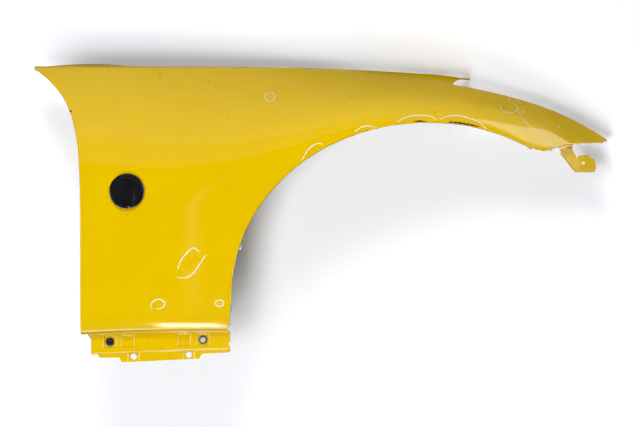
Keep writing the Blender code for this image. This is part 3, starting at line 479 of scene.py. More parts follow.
def makeSkin():
    bm = bmesh.new()
    columns, notch, corner, sillCount = skinColumns()
    last = len(columns) - 1
    crestTop = (notchX, crest(notchX))
    notchPoint = (notchX, notchZ)
    band = columnLength(columns[notch][0], notchPoint)
    split = band / (band + columnLength(notchPoint, crestTop))
    lowRows = np.linspace(0, 1, body["rows"]["low"])
    highRows = np.linspace(0, 1, body["rows"]["high"])
    shares = list(split * lowRows) + list(split + (1 - split) * highRows[1:])
    grid = []
    for i, (lower, upper, sweep) in enumerate(columns):
        grid.append(skinRow(bm, lower, upper, sweep, shares if i < notch else lowRows))
    root = skinRow(bm, notchPoint, crestTop, 0, highRows[1:])
    tongue = [[grid[notch][-1]] + root]
    quadRows(bm, [*grid[:notch], grid[notch] + root])
    quadRows(bm, grid[notch:])
    tipX = notchX + body["tongueLength"]
    lowX = tipX - body["tongueSlant"]
    for share in np.linspace(0, 1, body["columns"]["tongue"] + 1)[1:]:
        topX = notchX + (tipX - notchX) * share
        topZ = crest(topX) + body["tongueLift"] * share ** 2
        climb = 1 - (1 - min(share / body["tongueReach"], 1)) ** 2
        low = (notchX + (lowX - notchX) * share,
               notchZ + (topZ - body["tongueLip"] - notchZ) * climb)
        tongue.append(skinRow(bm, low, (topX, topZ), 0, highRows))
    quadRows(bm, tongue)

    archRail = [grid[i][0] for i in range(sillCount, corner)]
    seamRail = [grid[i][0] for i in range(corner + 1, last - 2)]
    lampRail = [grid[i][-1] for i in range(notch + 1, last)]
    crestRail = [grid[i][-1] for i in range(1, notch)] + [row[-1] for row in tongue[:-1]]
    doorRail = grid[0][:-1]
    tongueRail = [row[0] for row in tongue[1:]]
    foldFlange(bm, archRail, towardsArch, towards(0, 1, 0), body["archLip"])
    foldFlange(bm, seamRail, towards(0, 0, -1), towards(0, 1, body["seamRise"]), body["seamFlange"])
    lampRows = foldFlange(bm, lampRail, towards(1, 0, 1), lambda inboard: inboard, body["lampFlange"])
    foldFlange(bm, tongueRail, towards(1, 0, -1), towards(0, 1, 0), body["tongueFlange"], radius / 4)
    doorRows = foldFlange(bm, doorRail, towards(-1, 0, 0), doorLeg, body["doorFlange"])
    firstLedgeFace = len(bm.faces)
    ledgeRows = hoodLedge(bm, crestRail)
    # The ledge and the skin's last row before it get a darker copy of the paint, painted shade where the
    # ledge faces away from the lamps, up to where the ledge is out of sight
    ledgeEnd = flatPlace(*ledge["shadedTo"])[0]
    crestVerts = set(crestRail)
    for i, face in enumerate(bm.faces):
        nearCrest = i >= firstLedgeFace or any(vert in crestVerts for vert in face.verts)
        if nearCrest and face.calc_center_median().x < ledgeEnd:
            face.material_index = 2
    tab = doorTab(bm, doorRows)
    faceFront(bm, slice(1))
    holes = []
    inner, outer = ledgeRows[-1], ledgeRows[-3]
    for share in ledge["holes"]:
        near = 1 + nearest(inner[1:-1], 0, -rearReach + (notchX + rearReach) * share)
        centre = (inner[near].co + outer[near].co) / 2
        along = inner[near + 1].co - inner[near - 1].co
        normal = along.cross(inner[near].co - outer[near].co).normalized()
        holes.append((centre, along, normal, body["boltHole"]))
    holes.append((tab[0], tab[2], tab[1], body["boltHole"]))
    middle = nearest(lampRail, 0, frontLength * body["lampHolePlace"])
    end, start = lampRows[-1][middle].co, lampRows[-3][middle].co
    tangent = (lampRows[-1][middle + 1].co - end).normalized()
    normal = tangent.cross((end - start).normalized())
    holes.append(((end + start) / 2, tangent, normal, body["lampHole"]))
    return bm, holes


def smooth(t):
    t = np.clip(t, 0, 1)
    return t * t * (3 - 2 * t)


def roundedBox(x, z, half, corner):
    """Distance inside (positive) of a round-cornered square about the origin."""
    dx = np.abs(x) - (half - corner)
    dz = np.abs(z) - (half - corner)
    outside = np.hypot(np.maximum(dx, 0), np.maximum(dz, 0))
    return corner - outside - np.minimum(np.maximum(dx, dz), 0)


def flangeRelief(x, z):
    """How far inboard of the flange's plane its face lies: pads, fold, tab recesses, dimples."""
    deep = np.zeros_like(x)
    for place in sill["pads"]:
        middle = padMiddle(place)
        inside = roundedBox(x - middle.x, z - middle.z, sill["padSize"] / 2, sill["padCorner"])
        deep = np.maximum(deep, sill["padDepth"] * smooth(inside / sill["padBevel"]))
    under = foldZ(x) - z
    deep = np.maximum(deep, sill["step"] * smooth(under / sill["stepHeight"]))
    deep = deep + sill["groove"] * np.exp(-((under - sill["grooveDrop"]) / sill["grooveHalf"]) ** 2)
    for place in sill["tabs"]:
        inside = sill["tabWidth"] / 2 - np.abs(x - flangePlace(place))
        recess = smooth(inside / sill["tabBevel"]) * smooth((under - sill["stepHeight"]) / sill["tabFoot"])
        deep = deep + sill["tabDepth"] * recess
    for px, size, height in sill["dimples"]:
        dx = picture["middle"][0] + (px - picture["centre"][0]) * pixel
        dz = flangeTop(dx) - sill["dimpleDrop"]
        ring = np.hypot(x - dx, z - dz) / (size * pixel)
        deep = deep + height * (1 - smooth(ring - 0.25))
    return deep


def makeFlange():
    """Joggle and sill flange as one fine sheet."""
    bm = bmesh.new()
    xs = np.linspace(flangeRear, flangeFront, sill["columns"])
    places = [flangePlace(p) for p, _ in sill["outline"]]
    drops = [d for _, d in sill["outline"]]
    turns = [radians(turn) for turn in (0, 30, 60, 90)]
    rows = [[] for _ in range(8 + sill["rows"])]
    for k, x in enumerate(xs):
        share = k / (len(xs) - 1)
        skinX = flangeStart + (footX - flangeStart) * share
        skinZ = sillLine(skinX)
        skinY = surface(skinX, skinZ)
        plane = flangeY(x)
        r = sill["radius"]
        for row, angle in zip(rows, turns):
            row.append(bm.verts.new((skinX, skinY + r * (1 - cos(angle)), skinZ - r * sin(angle))))
        level = skinZ - r - rearDip(x)
        for row, angle in zip(rows[4:], turns):
            row.append(bm.verts.new((x, plane - r + r * sin(angle), level - r * (1 - cos(angle)))))
        top = level - r
        low = foldZ(x) - np.interp(x, places, drops)
        z = np.linspace(top, low, sill["rows"] + 1)[1:]
        y = plane + flangeRelief(np.full_like(z, x), z)
        # Round bite in the front end
        share = np.clip(abs(z - (top - sill["biteDrop"])) / sill["biteHalf"], 0, 1)
        bite = sill["bite"] * max(1 - (flangeFront - x) / sill["biteReach"], 0)
        for row, place in zip(rows[8:], zip(x - bite * np.sqrt(1 - share ** 2), y, z)):
            row.append(bm.verts.new(place))
    quadRows(bm, rows)
    faceFront(bm, slice(-1, None))
    slope = flangeY(flangeFront) - flangeY(flangeRear)
    outward = Vector((slope, -(flangeFront - flangeRear), 0)).normalized()
    holes = []
    for place in sill["tabs"]:
        x = flangePlace(place)
        z = foldZ(x) - sill["tabDrop"]
        recess = flangeY(x) + sill["step"] + sill["tabDepth"]
        holes.append((Vector((x, recess, z)), sideways, outward, sill["tabHole"]))
    for place in (sill["pads"][0], sill["pads"][3]):
        holes.append((padMiddle(place), sideways, outward, body["boltHole"]))
    return bm, holes, outward


def frameMatrix(origin, across, up):
    z = up.normalized()
    x = (across - z * across.dot(z)).normalized()
    matrix = Matrix((x, z.cross(x), z)).transposed().to_4x4()
    matrix.translation = origin
    return matrix


def addObject(name, data):
    obj = bpy.data.objects.new(name, data)
    bpy.context.scene.collection.objects.link(obj)
    return obj


def meshObject(name, bm, materials=(), angle=40, shift=datum, smoothed=True):
    """An object from a grid, in the row's frame, with edges sharp beyond an angle."""
    mesh = bpy.data.meshes.new(name)
    bm.to_mesh(mesh)
    bm.free()
    mesh.transform(Matrix.Translation(shift))
    if smoothed:
        mesh.shade_smooth()
    if angle:
        mesh.set_sharp_from_angle(angle=radians(angle))
    for material in materials:
        mesh.materials.append(material)
    return addObject(name, mesh)


def drilledSheet(name, bm, holes, reach=0.004):
    """A sheet with its thickness and its round holes, as a mesh in the row's frame."""
    obj = meshObject(name, bm, panelMaterials)
    solidify = obj.modifiers.new("thickness", "SOLIDIFY")
    solidify.thickness = body["sheet"]
    solidify.offset = -1
    solidify.use_quality_normals = True
    solidify.material_offset = 1
    bm = bmesh.new()
    for centre, across, up, size in holes:
        bmesh.ops.create_cone(bm, cap_ends=True, segments=40, radius1=size, radius2=size,
                              depth=reach * 2, matrix=frameMatrix(centre, across, up))
    cutter = meshObject("holeShapes", bm)
    boolean = obj.modifiers.new("holes", "BOOLEAN")
    boolean.object = cutter
    boolean.solver = "EXACT"
    bpy.context.view_layer.update()
    graph = bpy.context.evaluated_depsgraph_get()
    mesh = bpy.data.meshes.new_from_object(obj.evaluated_get(graph))
    for spare in (obj, cutter):
        bpy.data.objects.remove(spare)
    return mesh


# Materials

def newMaterial(name):
    material = bpy.data.materials.new(name)
    material.use_nodes = True
    tree = material.node_tree
    return material, tree, tree.nodes["Principled BSDF"]


def feed(made, inputs):
    """Sets a node's inputs, or links them where a socket is given."""
    for key, value in inputs.items():
        if isinstance(value, bpy.types.NodeSocket):
            made.id_data.links.new(value, made.inputs[key])
        else:
            made.inputs[key].default_value = value


def node(tree, kind, inputs=None, **settings):
    made = tree.nodes.new("ShaderNode" + kind)
    for key, value in settings.items():
        setattr(made, key, value)
    feed(made, inputs or {})
    return made


def objectPlace(tree):
    return node(tree, "TexCoord").outputs["Object"]


def noise(place, scale, detail=3.0, rough=0.55):
    inputs = {"Vector": place, "Scale": scale, "Detail": detail, "Roughness": rough}
    return node(place.id_data, "TexNoise", inputs).outputs["Fac"]


def ramp(value, low, high, out0=0.0, out1=1.0, kind="LINEAR"):
    inputs = {"Value": value, "From Min": low, "From Max": high, "To Min": out0, "To Max": out1}
    return node(value.id_data, "MapRange", inputs, interpolation_type=kind).outputs["Result"]


def blendColour(factor, first, second):
    inputs = {0: factor, 6: first, 7: second}
    return node(factor.id_data, "Mix", inputs, data_type="RGBA").outputs[2]


def bump(height, strength, distance):
    inputs = {"Strength": strength, "Distance": distance, "Height": height}
    return node(height.id_data, "Bump", inputs).outputs["Normal"]


def mathNode(operation, first, second=0.0):
    return node(first.id_data, "Math", {0: first, 1: second}, operation=operation).outputs[0]


paint = {
    "base": (0.80, 0.525, 0.0, 1),
    "deep": (0.77, 0.495, 0.0, 1),
    "dust": (0.62, 0.50, 0.25, 1),
    # The crease colour and the three entries after it are painted shade: the paint darkens where ambient
    # occlusion finds creases and recesses
    "crease": (0.20, 0.12, 0.01, 1),
    "creaseReach": 0.004, "creaseRange": (0.55, 0.93), "creaseShadeStrength": 0.75,
    "coatRoughness": (0.025, 0.07), "peel": (520.0, 0.012),
}


def paintMaterial():
    """Gloss yellow under clear coat, with faint mottling, orange peel, dust, and painted shade that darkens
    the creases.
    """
    material, tree, shader = newMaterial("bodyPaint")
    place = objectPlace(tree)
    mottle = ramp(noise(place, 9.0, 4.0), 0.35, 0.7)
    colour = blendColour(mottle, paint["base"], paint["deep"])
    dusty = ramp(noise(place, 55.0, 6.0, 0.7), 0.60, 0.86, 0.0, 0.10)
    colour = blendColour(dusty, colour, paint["dust"])
    # Painted shade: ambient occlusion darkens the paint towards the crease colour in creases, recesses and
    # under edges
    openness = node(tree, "AmbientOcclusion", {"Distance": paint["creaseReach"]}, samples=6)
    creaseShade = ramp(openness.outputs["AO"], *paint["creaseRange"], paint["creaseShadeStrength"], 0.0)
    colour = blendColour(creaseShade, colour, paint["crease"])
    coat = ramp(noise(place, 30.0, 5.0, 0.65), 0.3, 0.75, *paint["coatRoughness"])
    peel = bump(noise(place, paint["peel"][0], 2.0), paint["peel"][1], 0.001)
    feed(shader, {"Base Color": colour, "Roughness": 0.42, "Specular IOR Level": 0.0, "Coat Weight": 1.0,
                  "Coat IOR": 1.5, "Coat Roughness": coat, "Coat Normal": peel})
    return material


def innerMaterial():
    """The hidden side: thin dull paint over primer, with road dust."""
    material, tree, shader = newMaterial("innerPaint")
    place = objectPlace(tree)
    thin = ramp(noise(place, 7.0, 5.0, 0.6), 0.35, 0.68)
    colour = blendColour(thin, (0.42, 0.29, 0.04, 1), (0.27, 0.21, 0.09, 1))
    grime = ramp(noise(place, 24.0, 7.0, 0.72), 0.52, 0.75, 0.0, 0.75)
    colour = blendColour(grime, colour, (0.13, 0.11, 0.085, 1))
    feed(shader, {"Base Color": colour, "Roughness": ramp(grime, 0.0, 0.75, 0.38, 0.8),
                  "Normal": bump(noise(place, 260.0, 5.0), 0.25, 0.0006)})
    return material


def plainMaterial(name, colour, roughness, metallic=0.0, scale=180.0, strength=0.15, spread=0.25, coat=0.0):
    """A surface with mottled colour, uneven roughness and a fine grain."""
    material, tree, shader = newMaterial(name)
    place = objectPlace(tree)
    cloud = noise(place, scale * 0.35, 5.0, 0.6)
    dark = tuple(c * (1 - spread) for c in colour[:3]) + (1,)
    light = tuple(min(c * (1 + spread), 1) for c in colour[:3]) + (1,)
    patchy = ramp(noise(place, scale, 4.0), 0.3, 0.7, roughness * 0.8, roughness * 1.25)
    feed(shader, {"Base Color": blendColour(ramp(cloud, 0.3, 0.7), dark, light),
                  "Roughness": patchy, "Metallic": metallic, "Coat Weight": coat,
                  "Normal": bump(noise(place, scale * 4, 3.0), strength, 0.0003)})
    return material


bodyPaint = paintMaterial()
innerPaint = innerMaterial()
# A darker copy of the body paint: painted shade for the hood ledge and the skin's last row before it
ledgeShadedPaint = plainMaterial("ledgeShadedPaint", (0.56, 0.37, 0.008), 0.42, 0, 60, 0.10, 0.10, 0.25)
panelMaterials = (bodyPaint, innerPaint, ledgeShadedPaint, innerPaint)
glossBlack = plainMaterial("glossBlack", (0.008, 0.008, 0.009), 0.07, 0, 60, 0.02, 0.3, 1.0)
faceBlack = plainMaterial("faceBlack", (0.010, 0.010, 0.012), 0.10, 0, 90, 0.03, 0.3, 1.0)
rubber = plainMaterial("grommetRubber", (0.010, 0.010, 0.011), 0.28, 0, 240, 0.12, 0.25, 0.5)
nylon = plainMaterial("greyNylon", (0.36, 0.37, 0.38), 0.40, 0, 240, 0.15)
pinNylon = plainMaterial("pinNylon", (0.47, 0.48, 0.49), 0.38, 0, 240, 0.15)
zinc = plainMaterial("zincSteel", (0.46, 0.54, 0.64), 0.38, 0.55, 300, 0.2)
foam = plainMaterial("foamTape", (0.05, 0.05, 0.05), 0.9, 0, 300, 0.4)
# The bracket is painted in body colour; its darker colour here is painted shade
bracketShadedPaint = plainMaterial("bracketShadedPaint", (0.66, 0.42, 0.002), 0.34, 0, 70, 0.12, 0.12, 0.5)
chalk = plainMaterial("chalkWhite", (0.86, 0.85, 0.80), 0.8, 0, 500, 0.5, 0.06)
chipDark = plainMaterial("chippedEdge", (0.016, 0.013, 0.016), 0.8, 0, 500, 0.6, 0.5)
speckDark = plainMaterial("speckDark", (0.10, 0.06, 0.02), 0.7, 0, 500, 0.4, 0.3)
print("stage: materials")

# The panel

skin = drilledSheet("skinSheet", *makeSkin())
print("stage: skin", len(skin.polygons))
flangeGrid, flangeHoles, outward = makeFlange()
flange = drilledSheet("flangeSheet", flangeGrid, flangeHoles)
print("stage: flange", len(flange.polygons))
join = bmesh.new()
join.from_mesh(skin)
join.from_mesh(flange)
panelMesh = bpy.data.meshes.new("fenderPanel")
join.to_mesh(panelMesh)
join.free()
for material in panelMaterials:
    panelMesh.materials.append(material)
fenderPanel = addObject("fenderPanel", panelMesh)


# Turned pieces

def turnedPiece(name, profile, place, material, steps=64, angle=35):
    bm = bmesh.new()
    made = [bm.verts.new(place @ Vector((r, 0, h))) for r, h in profile]
    edges = [bm.edges.new(pair) for pair in zip(made, made[1:])]
    axis = place.to_3x3() @ Vector((0, 0, 1))
    bmesh.ops.spin(bm, geom=made + edges, cent=place.translation, axis=axis, angle=2 * pi,
                   steps=steps, use_merge=True, use_duplicate=False)
    bmesh.ops.remove_doubles(bm, verts=bm.verts, dist=0.00001)
    bmesh.ops.recalc_face_normals(bm, faces=bm.faces)
    return meshObject(name, bm, (material,), angle)


badge = {
    "x": -(0.630 - 0.0860),
    "z": 0.1865,
    "radius": 0.0320,
    "depth": 0.0036, "rim": 0.0026, "floor": 0.0012,
    "dome": 0.0016, "gap": 0.0016,
    "groove": {"place": 0.88, "spread": 0.02, "depth": 0.0004},
}
badgePlace = frameMatrix(Vector((badge["x"], depth(badge["x"], badge["z"]), badge["z"])),
                         sideways, surfaceNormal(badge["x"], badge["z"]))
outer, low = badge["radius"], badge["gap"]
inner = outer - badge["rim"]
top = low + badge["depth"]
floor = low + badge["floor"]
rimProfile = [(0, low), (outer - 0.0006, low), (outer - 0.0002, low + 0.0002),
              (outer, low + 0.0006), (outer, top - 0.0014), (outer - 0.0002, top - 0.0007),
              (outer - 0.0006, top - 0.0003), (outer - 0.0012, top), (inner + 0.0008, top),
              (inner + 0.0003, top - 0.0002), (inner, top - 0.0008), (inner, floor), (0, floor)]
badgeBase = turnedPiece("badgeBase", rimProfile, badgePlace, glossBlack, 96)
reach = inner - 0.0003
faceRim = top - 0.0009
faceProfile = [(0, floor + 0.0003), (reach, floor + 0.0003), (reach, faceRim - 0.0004),
               (reach - 0.0004, faceRim)]
ring = badge["groove"]
for share in np.linspace(0.965, 0.0, 30):
    groove = ring["depth"] * exp(-((share - ring["place"]) / ring["spread"]) ** 2)
    faceProfile.append((reach * share, faceRim + badge["dome"] * (1 - share ** 2) - groove))
badgeFace = turnedPiece("badgeFace", faceProfile, badgePlace, faceBlack, 96, 60)

plug = {"head": 0.0078, "height": 0.0020, "shank": 0.0041, "length": 0.0085, "dish": 0.0030,
        "greyRadius": 0.0056, "grommetRecess": 0.0015, "rivetRecess": 0.0006}


def plugProfile(recess):
    head, height, dish, shank, end = (plug[key] for key in ("head", "height", "dish", "shank", "length"))
    base = 0.0005 - recess
    return [(0, base), (dish - 0.0003, base), (dish, base + 0.0003), (dish, height - 0.0002),
            (dish + 0.0003, height), (head - 0.0024, height), (head - 0.0014, height * 0.88),
            (head - 0.0007, height * 0.68), (head - 0.0002, height * 0.42), (head, 0.0003),
            (shank, 0.0003), (shank, -end * 0.7), (shank * 0.6, -end), (0, -end)]


grommetPlace, rivetPlace = (frameMatrix(padMiddle(sill["pads"][i]), sideways, outward) for i in (0, 3))
grommet = turnedPiece("sillGrommet", plugProfile(plug["grommetRecess"]), grommetPlace, rubber)
rivetBody = turnedPiece("sillRivetBody", plugProfile(plug["rivetRecess"]), rivetPlace, nylon)
rivetBody.data.materials.append(rubber)
rivetMiddle = rivetPlace.translation + datum
for face in rivetBody.data.polygons:
    if hypot(face.center.x - rivetMiddle.x, face.center.z - rivetMiddle.z) > plug["greyRadius"]:
        face.material_index = 1
low = 0.0002
pinTop = plug["height"] + 0.0003
pinProfile = [(0, low), (0.0024, low), (0.0024, pinTop), (0.0035, pinTop), (0.0035, pinTop + 0.0005),
              (0.0032, pinTop + 0.0009), (0.0027, pinTop + 0.0011), (0.0014, pinTop + 0.0013),
              (0, pinTop + 0.0013)]
rivetPin = turnedPiece("sillRivetPin", pinProfile, rivetPlace, pinNylon)
for piece, name, slot in (
        (fenderPanel, "fender_panel", "body_paint"),
        (badgeBase, "badge_base", "badge_black"),
        (badgeFace, "badge_face", "badge_black"),
        (grommet, "sill_grommet", "black_plastic"),
        (rivetBody, "sill_rivet_body", "grey_plastic"),
        (rivetPin, "sill_rivet_pin", "grey_plastic")):
    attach(piece, "root")
    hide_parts(name)

# Small parts that keep their CAD form, and the thread barrels of the spring nuts
barrel = {"radius": 0.0028, "rim": 0.0022, "start": 0.0010, "end": 0.0018, "stretch": 1.2}
down = Vector((0, 0, -1))
for name, piece, way in (
        ("liner_clip_upper", "upperLinerBarrel", None),
        ("liner_clip_lower", "lowerLinerBarrel", None),
        ("bumper_clip_rear", "rearBumperBarrel", down),
        ("bumper_clip_front", "frontBumperBarrel", down)):
    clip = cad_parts[name]
    clip.data.materials.clear()
    clip.data.materials.append(zinc)
    corners = [clip.matrix_world @ vert.co for vert in clip.data.vertices]
    middle = sum(corners, Vector()) / len(corners)
    way = way or (datum - middle)
    way = Vector((way.x, 0, way.z)).normalized()
    face = max((corner - middle).dot(way) for corner in corners)
    wide, rim, start, end = (barrel[key] for key in ("radius", "rim", "start", "end"))
    profile = [(0, -start), (wide, -start), (wide, end - 0.0004), (wide - 0.0004, end), (rim, end),
               (rim, 0.0002), (0, 0.0002)]
    place = frameMatrix(middle - datum + way * face, Vector((0, 1, 0)), way)
    nut = turnedPiece(piece, profile, place, zinc, 32)
    if piece.endswith("LinerBarrel"):
        along = way.cross(Vector((0, 1, 0)))
        heart = sum((vert.co for vert in nut.data.vertices), Vector()) / len(nut.data.vertices)
        for vert in nut.data.vertices:
            vert.co += along * (vert.co - heart).dot(along) * barrel["stretch"]
    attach(nut, "root")
for name, material in (("front_bracket", bracketShadedPaint), ("badge_pad", foam)):
    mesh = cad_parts[name].data
    mesh.materials.clear()
    mesh.materials.append(material)
print("stage: small pieces")

# Marks drawn with a white paint pen, as thin ribbons on the skin, in picture pixels
marks = {
    "width": 0.0017, "thinFrom": 500, "lift": 0.00006,
    "lines": (
        ((302, 160.5), (306, 153), (313, 145.5), (320, 143.5), (323, 144.5)),
        ((355, 131.5), (363, 126.5), (370, 126), (376, 127.5)),
        ((397, 122), (407, 117), (415, 115.5), (425, 115.5), (432, 117), (436, 120)),
        ((440, 119.5), (445, 117), (450, 116), (461, 116), (470, 118.5), (480, 123), (486, 128.5)),
        ((178, 269), (180, 262), (186, 254), (194, 248), (199, 252)),
        ((177, 277), (182, 278), (190, 276), (197, 268), (206, 255)),
        ((152, 309), (151, 305), (155, 300), (160, 299.5), (165, 304), (163, 307), (156, 309)),
        ((510, 97.3), (508.9, 100.2), (513.5, 103.6), (518.1, 108.2), (514.6, 112.2), (508.9, 112.6),
         (502.6, 110.2), (499.1, 104.2)),
        ((518, 110.5), (525.5, 122), (531.8, 127.7), (541, 133.5), (546.8, 139.2), (552.5, 146.1)),
    ),
    "rings": ((269.8, 96.9, 5.0, 4.6), (219.6, 303.1, 4.2, 3.2)),
    "dots": ((523, 112, 0.7), (559, 127, 0.7), (218.4, 302.5, 0.6)),
}


def ribbon(bm, pixels, width, lift, closed=False):
    """A narrow strip along picture pixels, laid on the skin."""
    pixels = np.array(pixels, float)
    if pixels[0][0] > marks["thinFrom"]:
        width *= 0.6
    steps = np.concatenate(([0], np.cumsum(np.hypot(*np.diff(pixels, axis=0).T))))
    xs, ys = spline(list(zip(steps, pixels[:, 0]))), spline(list(zip(steps, pixels[:, 1])))
    count = max(int(steps[-1] / 0.8), 6)
    places = [steps[-1] * i / count for i in range(count + 1)]
    points = [fromPicture(xs(place), ys(place), lift) for place in places]
    sides = [], []
    for i, point in enumerate(points):
        across = chord(points, i).cross(surfaceNormal(point.x, point.z)).normalized()
        taper = 0.55 + 0.45 * sin(pi * min(max(i / count, 0.08), 0.92)) if not closed else 1.0
        wobble = 1 + 0.18 * sin(i * 1.7) + 0.12 * sin(i * 0.63)
        half = across * width * 0.5 * taper * wobble
        for side, shift in zip(sides, (-half, half)):
            side.append(bm.verts.new(point + shift))
    quadsBetween(bm, *sides)


def ellipse(px, py, a, b, count=18):
    return [(px + a * cos(2 * pi * i / count), py + b * sin(2 * pi * i / count))
            for i in range(count + 1)]


def patch(bm, px, py, a, b, lift, turn=0.0, seed=0, count=18):
    """A small blot with an uneven edge, laid on the skin."""
    centre = bm.verts.new(fromPicture(px, py, lift))
    rim = []
    for i in range(count):
        angle = 2 * pi * i / count
        uneven = 1 + 0.22 * sin(angle * 3 + seed) + 0.14 * sin(angle * 5 + seed * 2.3)
        dx, dy = a * uneven * cos(angle), b * uneven * sin(angle)
        rim.append(bm.verts.new(fromPicture(px + dx * cos(turn) - dy * sin(turn),
                                            py + dx * sin(turn) + dy * cos(turn), lift)))
    for first, second in zip(rim, rim[1:] + rim[:1]):
        bm.faces.new((centre, first, second))


def surfaceMarks(name, bm, material):
    faceFront(bm)
    obj = meshObject(name, bm, (material,), 0)
    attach(obj, "root")


bm = bmesh.new()
for line in marks["lines"]:
    ribbon(bm, line, marks["width"], marks["lift"])
for px, py, a, b in marks["rings"]:
    ribbon(bm, ellipse(px, py, a, b), marks["width"] * 0.8, marks["lift"], True)
for px, py, size in marks["dots"]:
    patch(bm, px, py, size, size, marks["lift"], 0, px)
surfaceMarks("penMarks", bm, chalk)

chips = {
    "lift": 0.00005,
    "edgeBead": (70.6, 111.5, 0.0019),
    "lip": ((416.5, 121.3, 2.8, 0.55), (420.5, 121.1, 3.0, 0.75), (424, 121.4, 2.2, 0.5),
            (451, 122.1, 2.4, 0.8), (455, 122.5, 2.6, 0.9), (459.5, 123, 2.8, 0.95), (464, 123.7, 2.8, 0.9),
            (468.5, 124.5, 2.8, 0.85), (473, 125.3, 2.6, 0.8), (476.8, 126.2, 2.6, 0.55)),
    "specks": ((160, 75, 0.7), (209, 82, 0.6), (227, 118, 0.6), (352, 98, 0.6), (435, 112, 0.7),
               (127.5, 214.8, 0.45), (503.7, 106.5, 0.6), (367, 130, 0.6), (309, 152, 0.7), (315, 150, 0.6),
               (188, 239, 0.4), (251, 121, 0.4), (393, 93, 0.4)),
}
bm = bmesh.new()
for i, (px, py, a, b) in enumerate(chips["lip"]):
    patch(bm, px, py, a, b, chips["lift"], 0.1, i)
surfaceMarks("lipChips", bm, chipDark)
bm = bmesh.new()
for i, (px, py, size) in enumerate(chips["specks"]):
    patch(bm, px, py, size, size * 0.9, chips["lift"], 0, i, 10)
surfaceMarks("darkSpecks", bm, speckDark)
bm = bmesh.new()
bead = fromPicture(*chips["edgeBead"][:2])
bmesh.ops.create_icosphere(bm, subdivisions=3, radius=chips["edgeBead"][2], matrix=Matrix.Translation(bead))
surfaceMarks("edgeBead", bm, speckDark)
print("stage: marks")


# Camera, lights and surroundings

scene = bpy.context.scene
scene.view_settings.view_transform = "Standard"
cameraData = bpy.data.cameras.new("camera")
cameraData.lens = 140.625
cameraData.sensor_width = 36
camera = addObject("camera", cameraData)
camera.location = Vector((picture["middle"][0], -picture["distance"], picture["middle"][1])) + datum
camera.rotation_euler = (pi / 2, 0, 0)
scene.camera = camera

light = {
    # Way from which it shines, size and power
    "lamps": {"key": ((-0.20, -1.0, -0.22), 0.9, 40), "lower": ((-0.16, -0.78, -0.44), 1.1, 32),
              "upper": ((-0.13, -0.75, 0.66), 1.1, 27), "crown": ((-0.13, -0.75, 0.66), 1.1, 20)},
    "middle": (0.25, 0.0, 0.23),
    "distance": 3.2,
    "skyFill": 0.28,
    "skySteps": ((0.44, 0.0), (0.50, 0.30), (0.73, 0.32), (0.79, 0.72), (0.97, 0.62)),
    "floorZ": -2.2,
    "wallBend": ((-6.0, 0.62), (-0.3, 0.245), (0.49, 0.190), (0.64, 0.148), (0.80, 0.124), (1.3, 0.11),
                 (7.0, 0.11)),
    "wallTop": 5,
    "floorCorners": ((-6, -6), (7, -6), (7, 6), (-6, 6)),
    "wall": 0.94, "wallSeen": 1.27,
    "floor": 0.9, "floorSeen": 0.55,
    "tint": (0.974, 0.989, 1.036),
}


def lookAlong(way):
    return Vector(way).normalized().to_track_quat("Z", "Y").to_euler()


lamps = {}
for name, (way, size, power) in light["lamps"].items():
    data = bpy.data.lights.new(name + "Light", "AREA")
    data.shape = "DISK"
    data.size = size
    data.energy = power
    lamp = addObject(name + "Light", data)
    lamp.location = Vector(light["middle"]) + Vector(way).normalized() * light["distance"]
    lamp.rotation_euler = lookAlong(way)
    lamp.visible_glossy = False
    lamp.visible_camera = False
    lamps[name] = lamp


def stageQuad(name, corners, material):
    bm = bmesh.new()
    bm.faces.new([bm.verts.new(corner) for corner in corners])
    return meshObject(name, bm, (material,), 0, Vector(), False)


def card(name, target, azimuth, elevation, distance, width, height, strength, soft=0.35):
    """A softbox seen only in reflections."""
    az, el = radians(azimuth), radians(elevation)
    way = Vector((sin(az) * cos(el), -cos(az) * cos(el), sin(el)))
    material, tree, _ = newMaterial(name)
    tree.nodes.clear()
    place = node(tree, "TexCoord").outputs["Generated"]
    parts = node(tree, "SeparateXYZ", {0: place})
    sides = []
    for axis in (0, 1):
        away = mathNode("ABSOLUTE", mathNode("SUBTRACT", parts.outputs[axis], 0.5))
        sides.append(ramp(away, 0.5 - soft / 2, 0.5, 1.0, 0.0, "SMOOTHSTEP"))
    fade = mathNode("MULTIPLY", *sides)
    power = mathNode("MULTIPLY", fade, strength)
    glow = node(tree, "Emission", {"Color": (1, 1, 1, 1), "Strength": power})
    clear = node(tree, "BsdfTransparent")
    mixer = node(tree, "MixShader", {0: fade, 1: clear.outputs[0], 2: glow.outputs[0]})
    node(tree, "OutputMaterial", {0: mixer.outputs[0]})
    half, high = width / 2, height / 2
    obj = stageQuad(name, ((-half, -high, 0), (half, -high, 0), (half, high, 0), (-half, high, 0)), material)
    obj.location = Vector(target) + way * distance
    obj.rotation_euler = lookAlong(way)
    obj.visible_camera = False
    obj.visible_diffuse = False
    obj.visible_shadow = False


card("noseCard", (0.64, -0.01, 0.38), 44, 26, 2.4, 2.0, 2.7, 4.0)
card("sillCard", (0.01, -0.02, 0.03), -11, -36, 2.2, 0.36, 1.2, 15.0, 0.5)
card("leftCard", (0.0, 0.0, 0.0), -80, -4, 2.4, 2.2, 1.8, 5.0)
card("rightCard", (0.0, 0.0, 0.0), 80, -4, 2.4, 2.2, 1.8, 7.0)
card("lowCard", (0.0, 0.0, 0.0), 0, -72, 2.0, 2.6, 1.6, 5.0)
card("cornerCard", (-0.1, 0.0, 0.1), -58, -42, 2.2, 1.4, 1.4, 5.0)
card("streakCard", (0.04, -0.03, 0.2), -10.5, 2, 2.4, 0.10, 1.3, 0.5, 0.9)

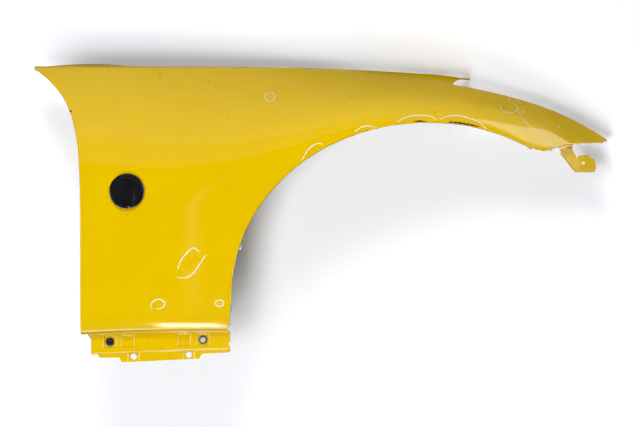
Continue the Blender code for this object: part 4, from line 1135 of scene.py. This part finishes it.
world = bpy.data.worlds.new("world")
scene.world = world
world.use_nodes = True
tree = world.node_tree
tree.nodes.clear()
way = node(tree, "TexCoord").outputs["Generated"]
parts = node(tree, "SeparateXYZ", {0: way})
steps = node(tree, "ValToRGB", {"Fac": parts.outputs["Z"]})
bar = steps.color_ramp
while len(bar.elements) < len(light["skySteps"]):
    bar.elements.new(0.5)
for element, (place, value) in zip(bar.elements, light["skySteps"]):
    element.position = place
    element.color = (value, value, value, 1)
behind = ramp(parts.outputs["Y"], -0.1, 0.65, 1.0, 0.42, "SMOOTHSTEP")
glossy = mathNode("MULTIPLY", steps.outputs["Color"], behind)
fill = ramp(parts.outputs["Z"], 0.3, 0.6, 0.02, light["skyFill"])
path = node(tree, "LightPath")
choice = node(tree, "Mix", {0: path.outputs["Is Glossy Ray"], 2: fill, 3: glossy})
seen = mathNode("MAXIMUM", choice.outputs[0], path.outputs["Is Camera Ray"])
output = node(tree, "Background", {"Color": (1, 1, 1, 1), "Strength": seen})
node(tree, "OutputWorld", {0: output.outputs[0]})


def stageStrip(name, route, low, high, material):
    """An upright sheet along a route of x and y."""
    line = spline(route)
    bm = bmesh.new()
    xs = np.concatenate(([route[0][0]], np.linspace(route[1][0], route[-2][0], 60), [route[-1][0]]))
    quadRows(bm, [[bm.verts.new((x, line(x), z)) for x in xs] for z in (low, high)])
    obj = meshObject(name, bm, (material,), 0, Vector())
    return obj


def stageMaterial(name, value, oneSided):
    """Plain white, a trace bluish against the yellow light from the paint."""
    material, tree, shader = newMaterial(name)
    colour, lit = ([part * tint for tint in light["tint"]] + [1] for part in (value, light["wallSeen"]))
    feed(shader, {"Base Color": colour, "Roughness": 1.0, "Specular IOR Level": 0.0})
    seen = node(tree, "LightPath").outputs["Is Camera Ray"]
    if not oneSided:
        # Darker to all but the camera, so that it throws little light up
        feed(shader, {"Base Color": blendColour(seen, (0.3, 0.3, 0.3, 1), colour),
                      "Emission Color": (1, 1, 1, 1),
                      "Emission Strength": mathNode("MULTIPLY", seen, light["floorSeen"])})
    else:
        # A little lighter to the camera, so that all but the shadow is white
        feed(shader, {"Base Color": blendColour(seen, colour, lit)})
        back = node(tree, "NewGeometry").outputs["Backfacing"]
        clear = node(tree, "BsdfTransparent")
        mixer = node(tree, "MixShader", {0: back, 1: shader.outputs[0], 2: clear.outputs[0]})
        feed(tree.nodes["Material Output"], {0: mixer.outputs[0]})
    return material


wall = stageStrip("wall", light["wallBend"], light["floorZ"], light["wallTop"],
                  stageMaterial("wallWhite", light["wall"], True))
wall.visible_glossy = False
# The crown's lamp leaves the wall alone, as the picture has no shadow below the panel
unlit = bpy.data.collections.new("unlitByCrownLamp")
unlit.objects.link(wall)
unlit.collection_objects[0].light_linking.link_state = "EXCLUDE"
lamps["crown"].light_linking.receiver_collection = unlit
stageQuad("floor", [(x, y, light["floorZ"]) for x, y in light["floorCorners"]],
                   stageMaterial("floorPale", light["floor"], False))
print("stage: lights")

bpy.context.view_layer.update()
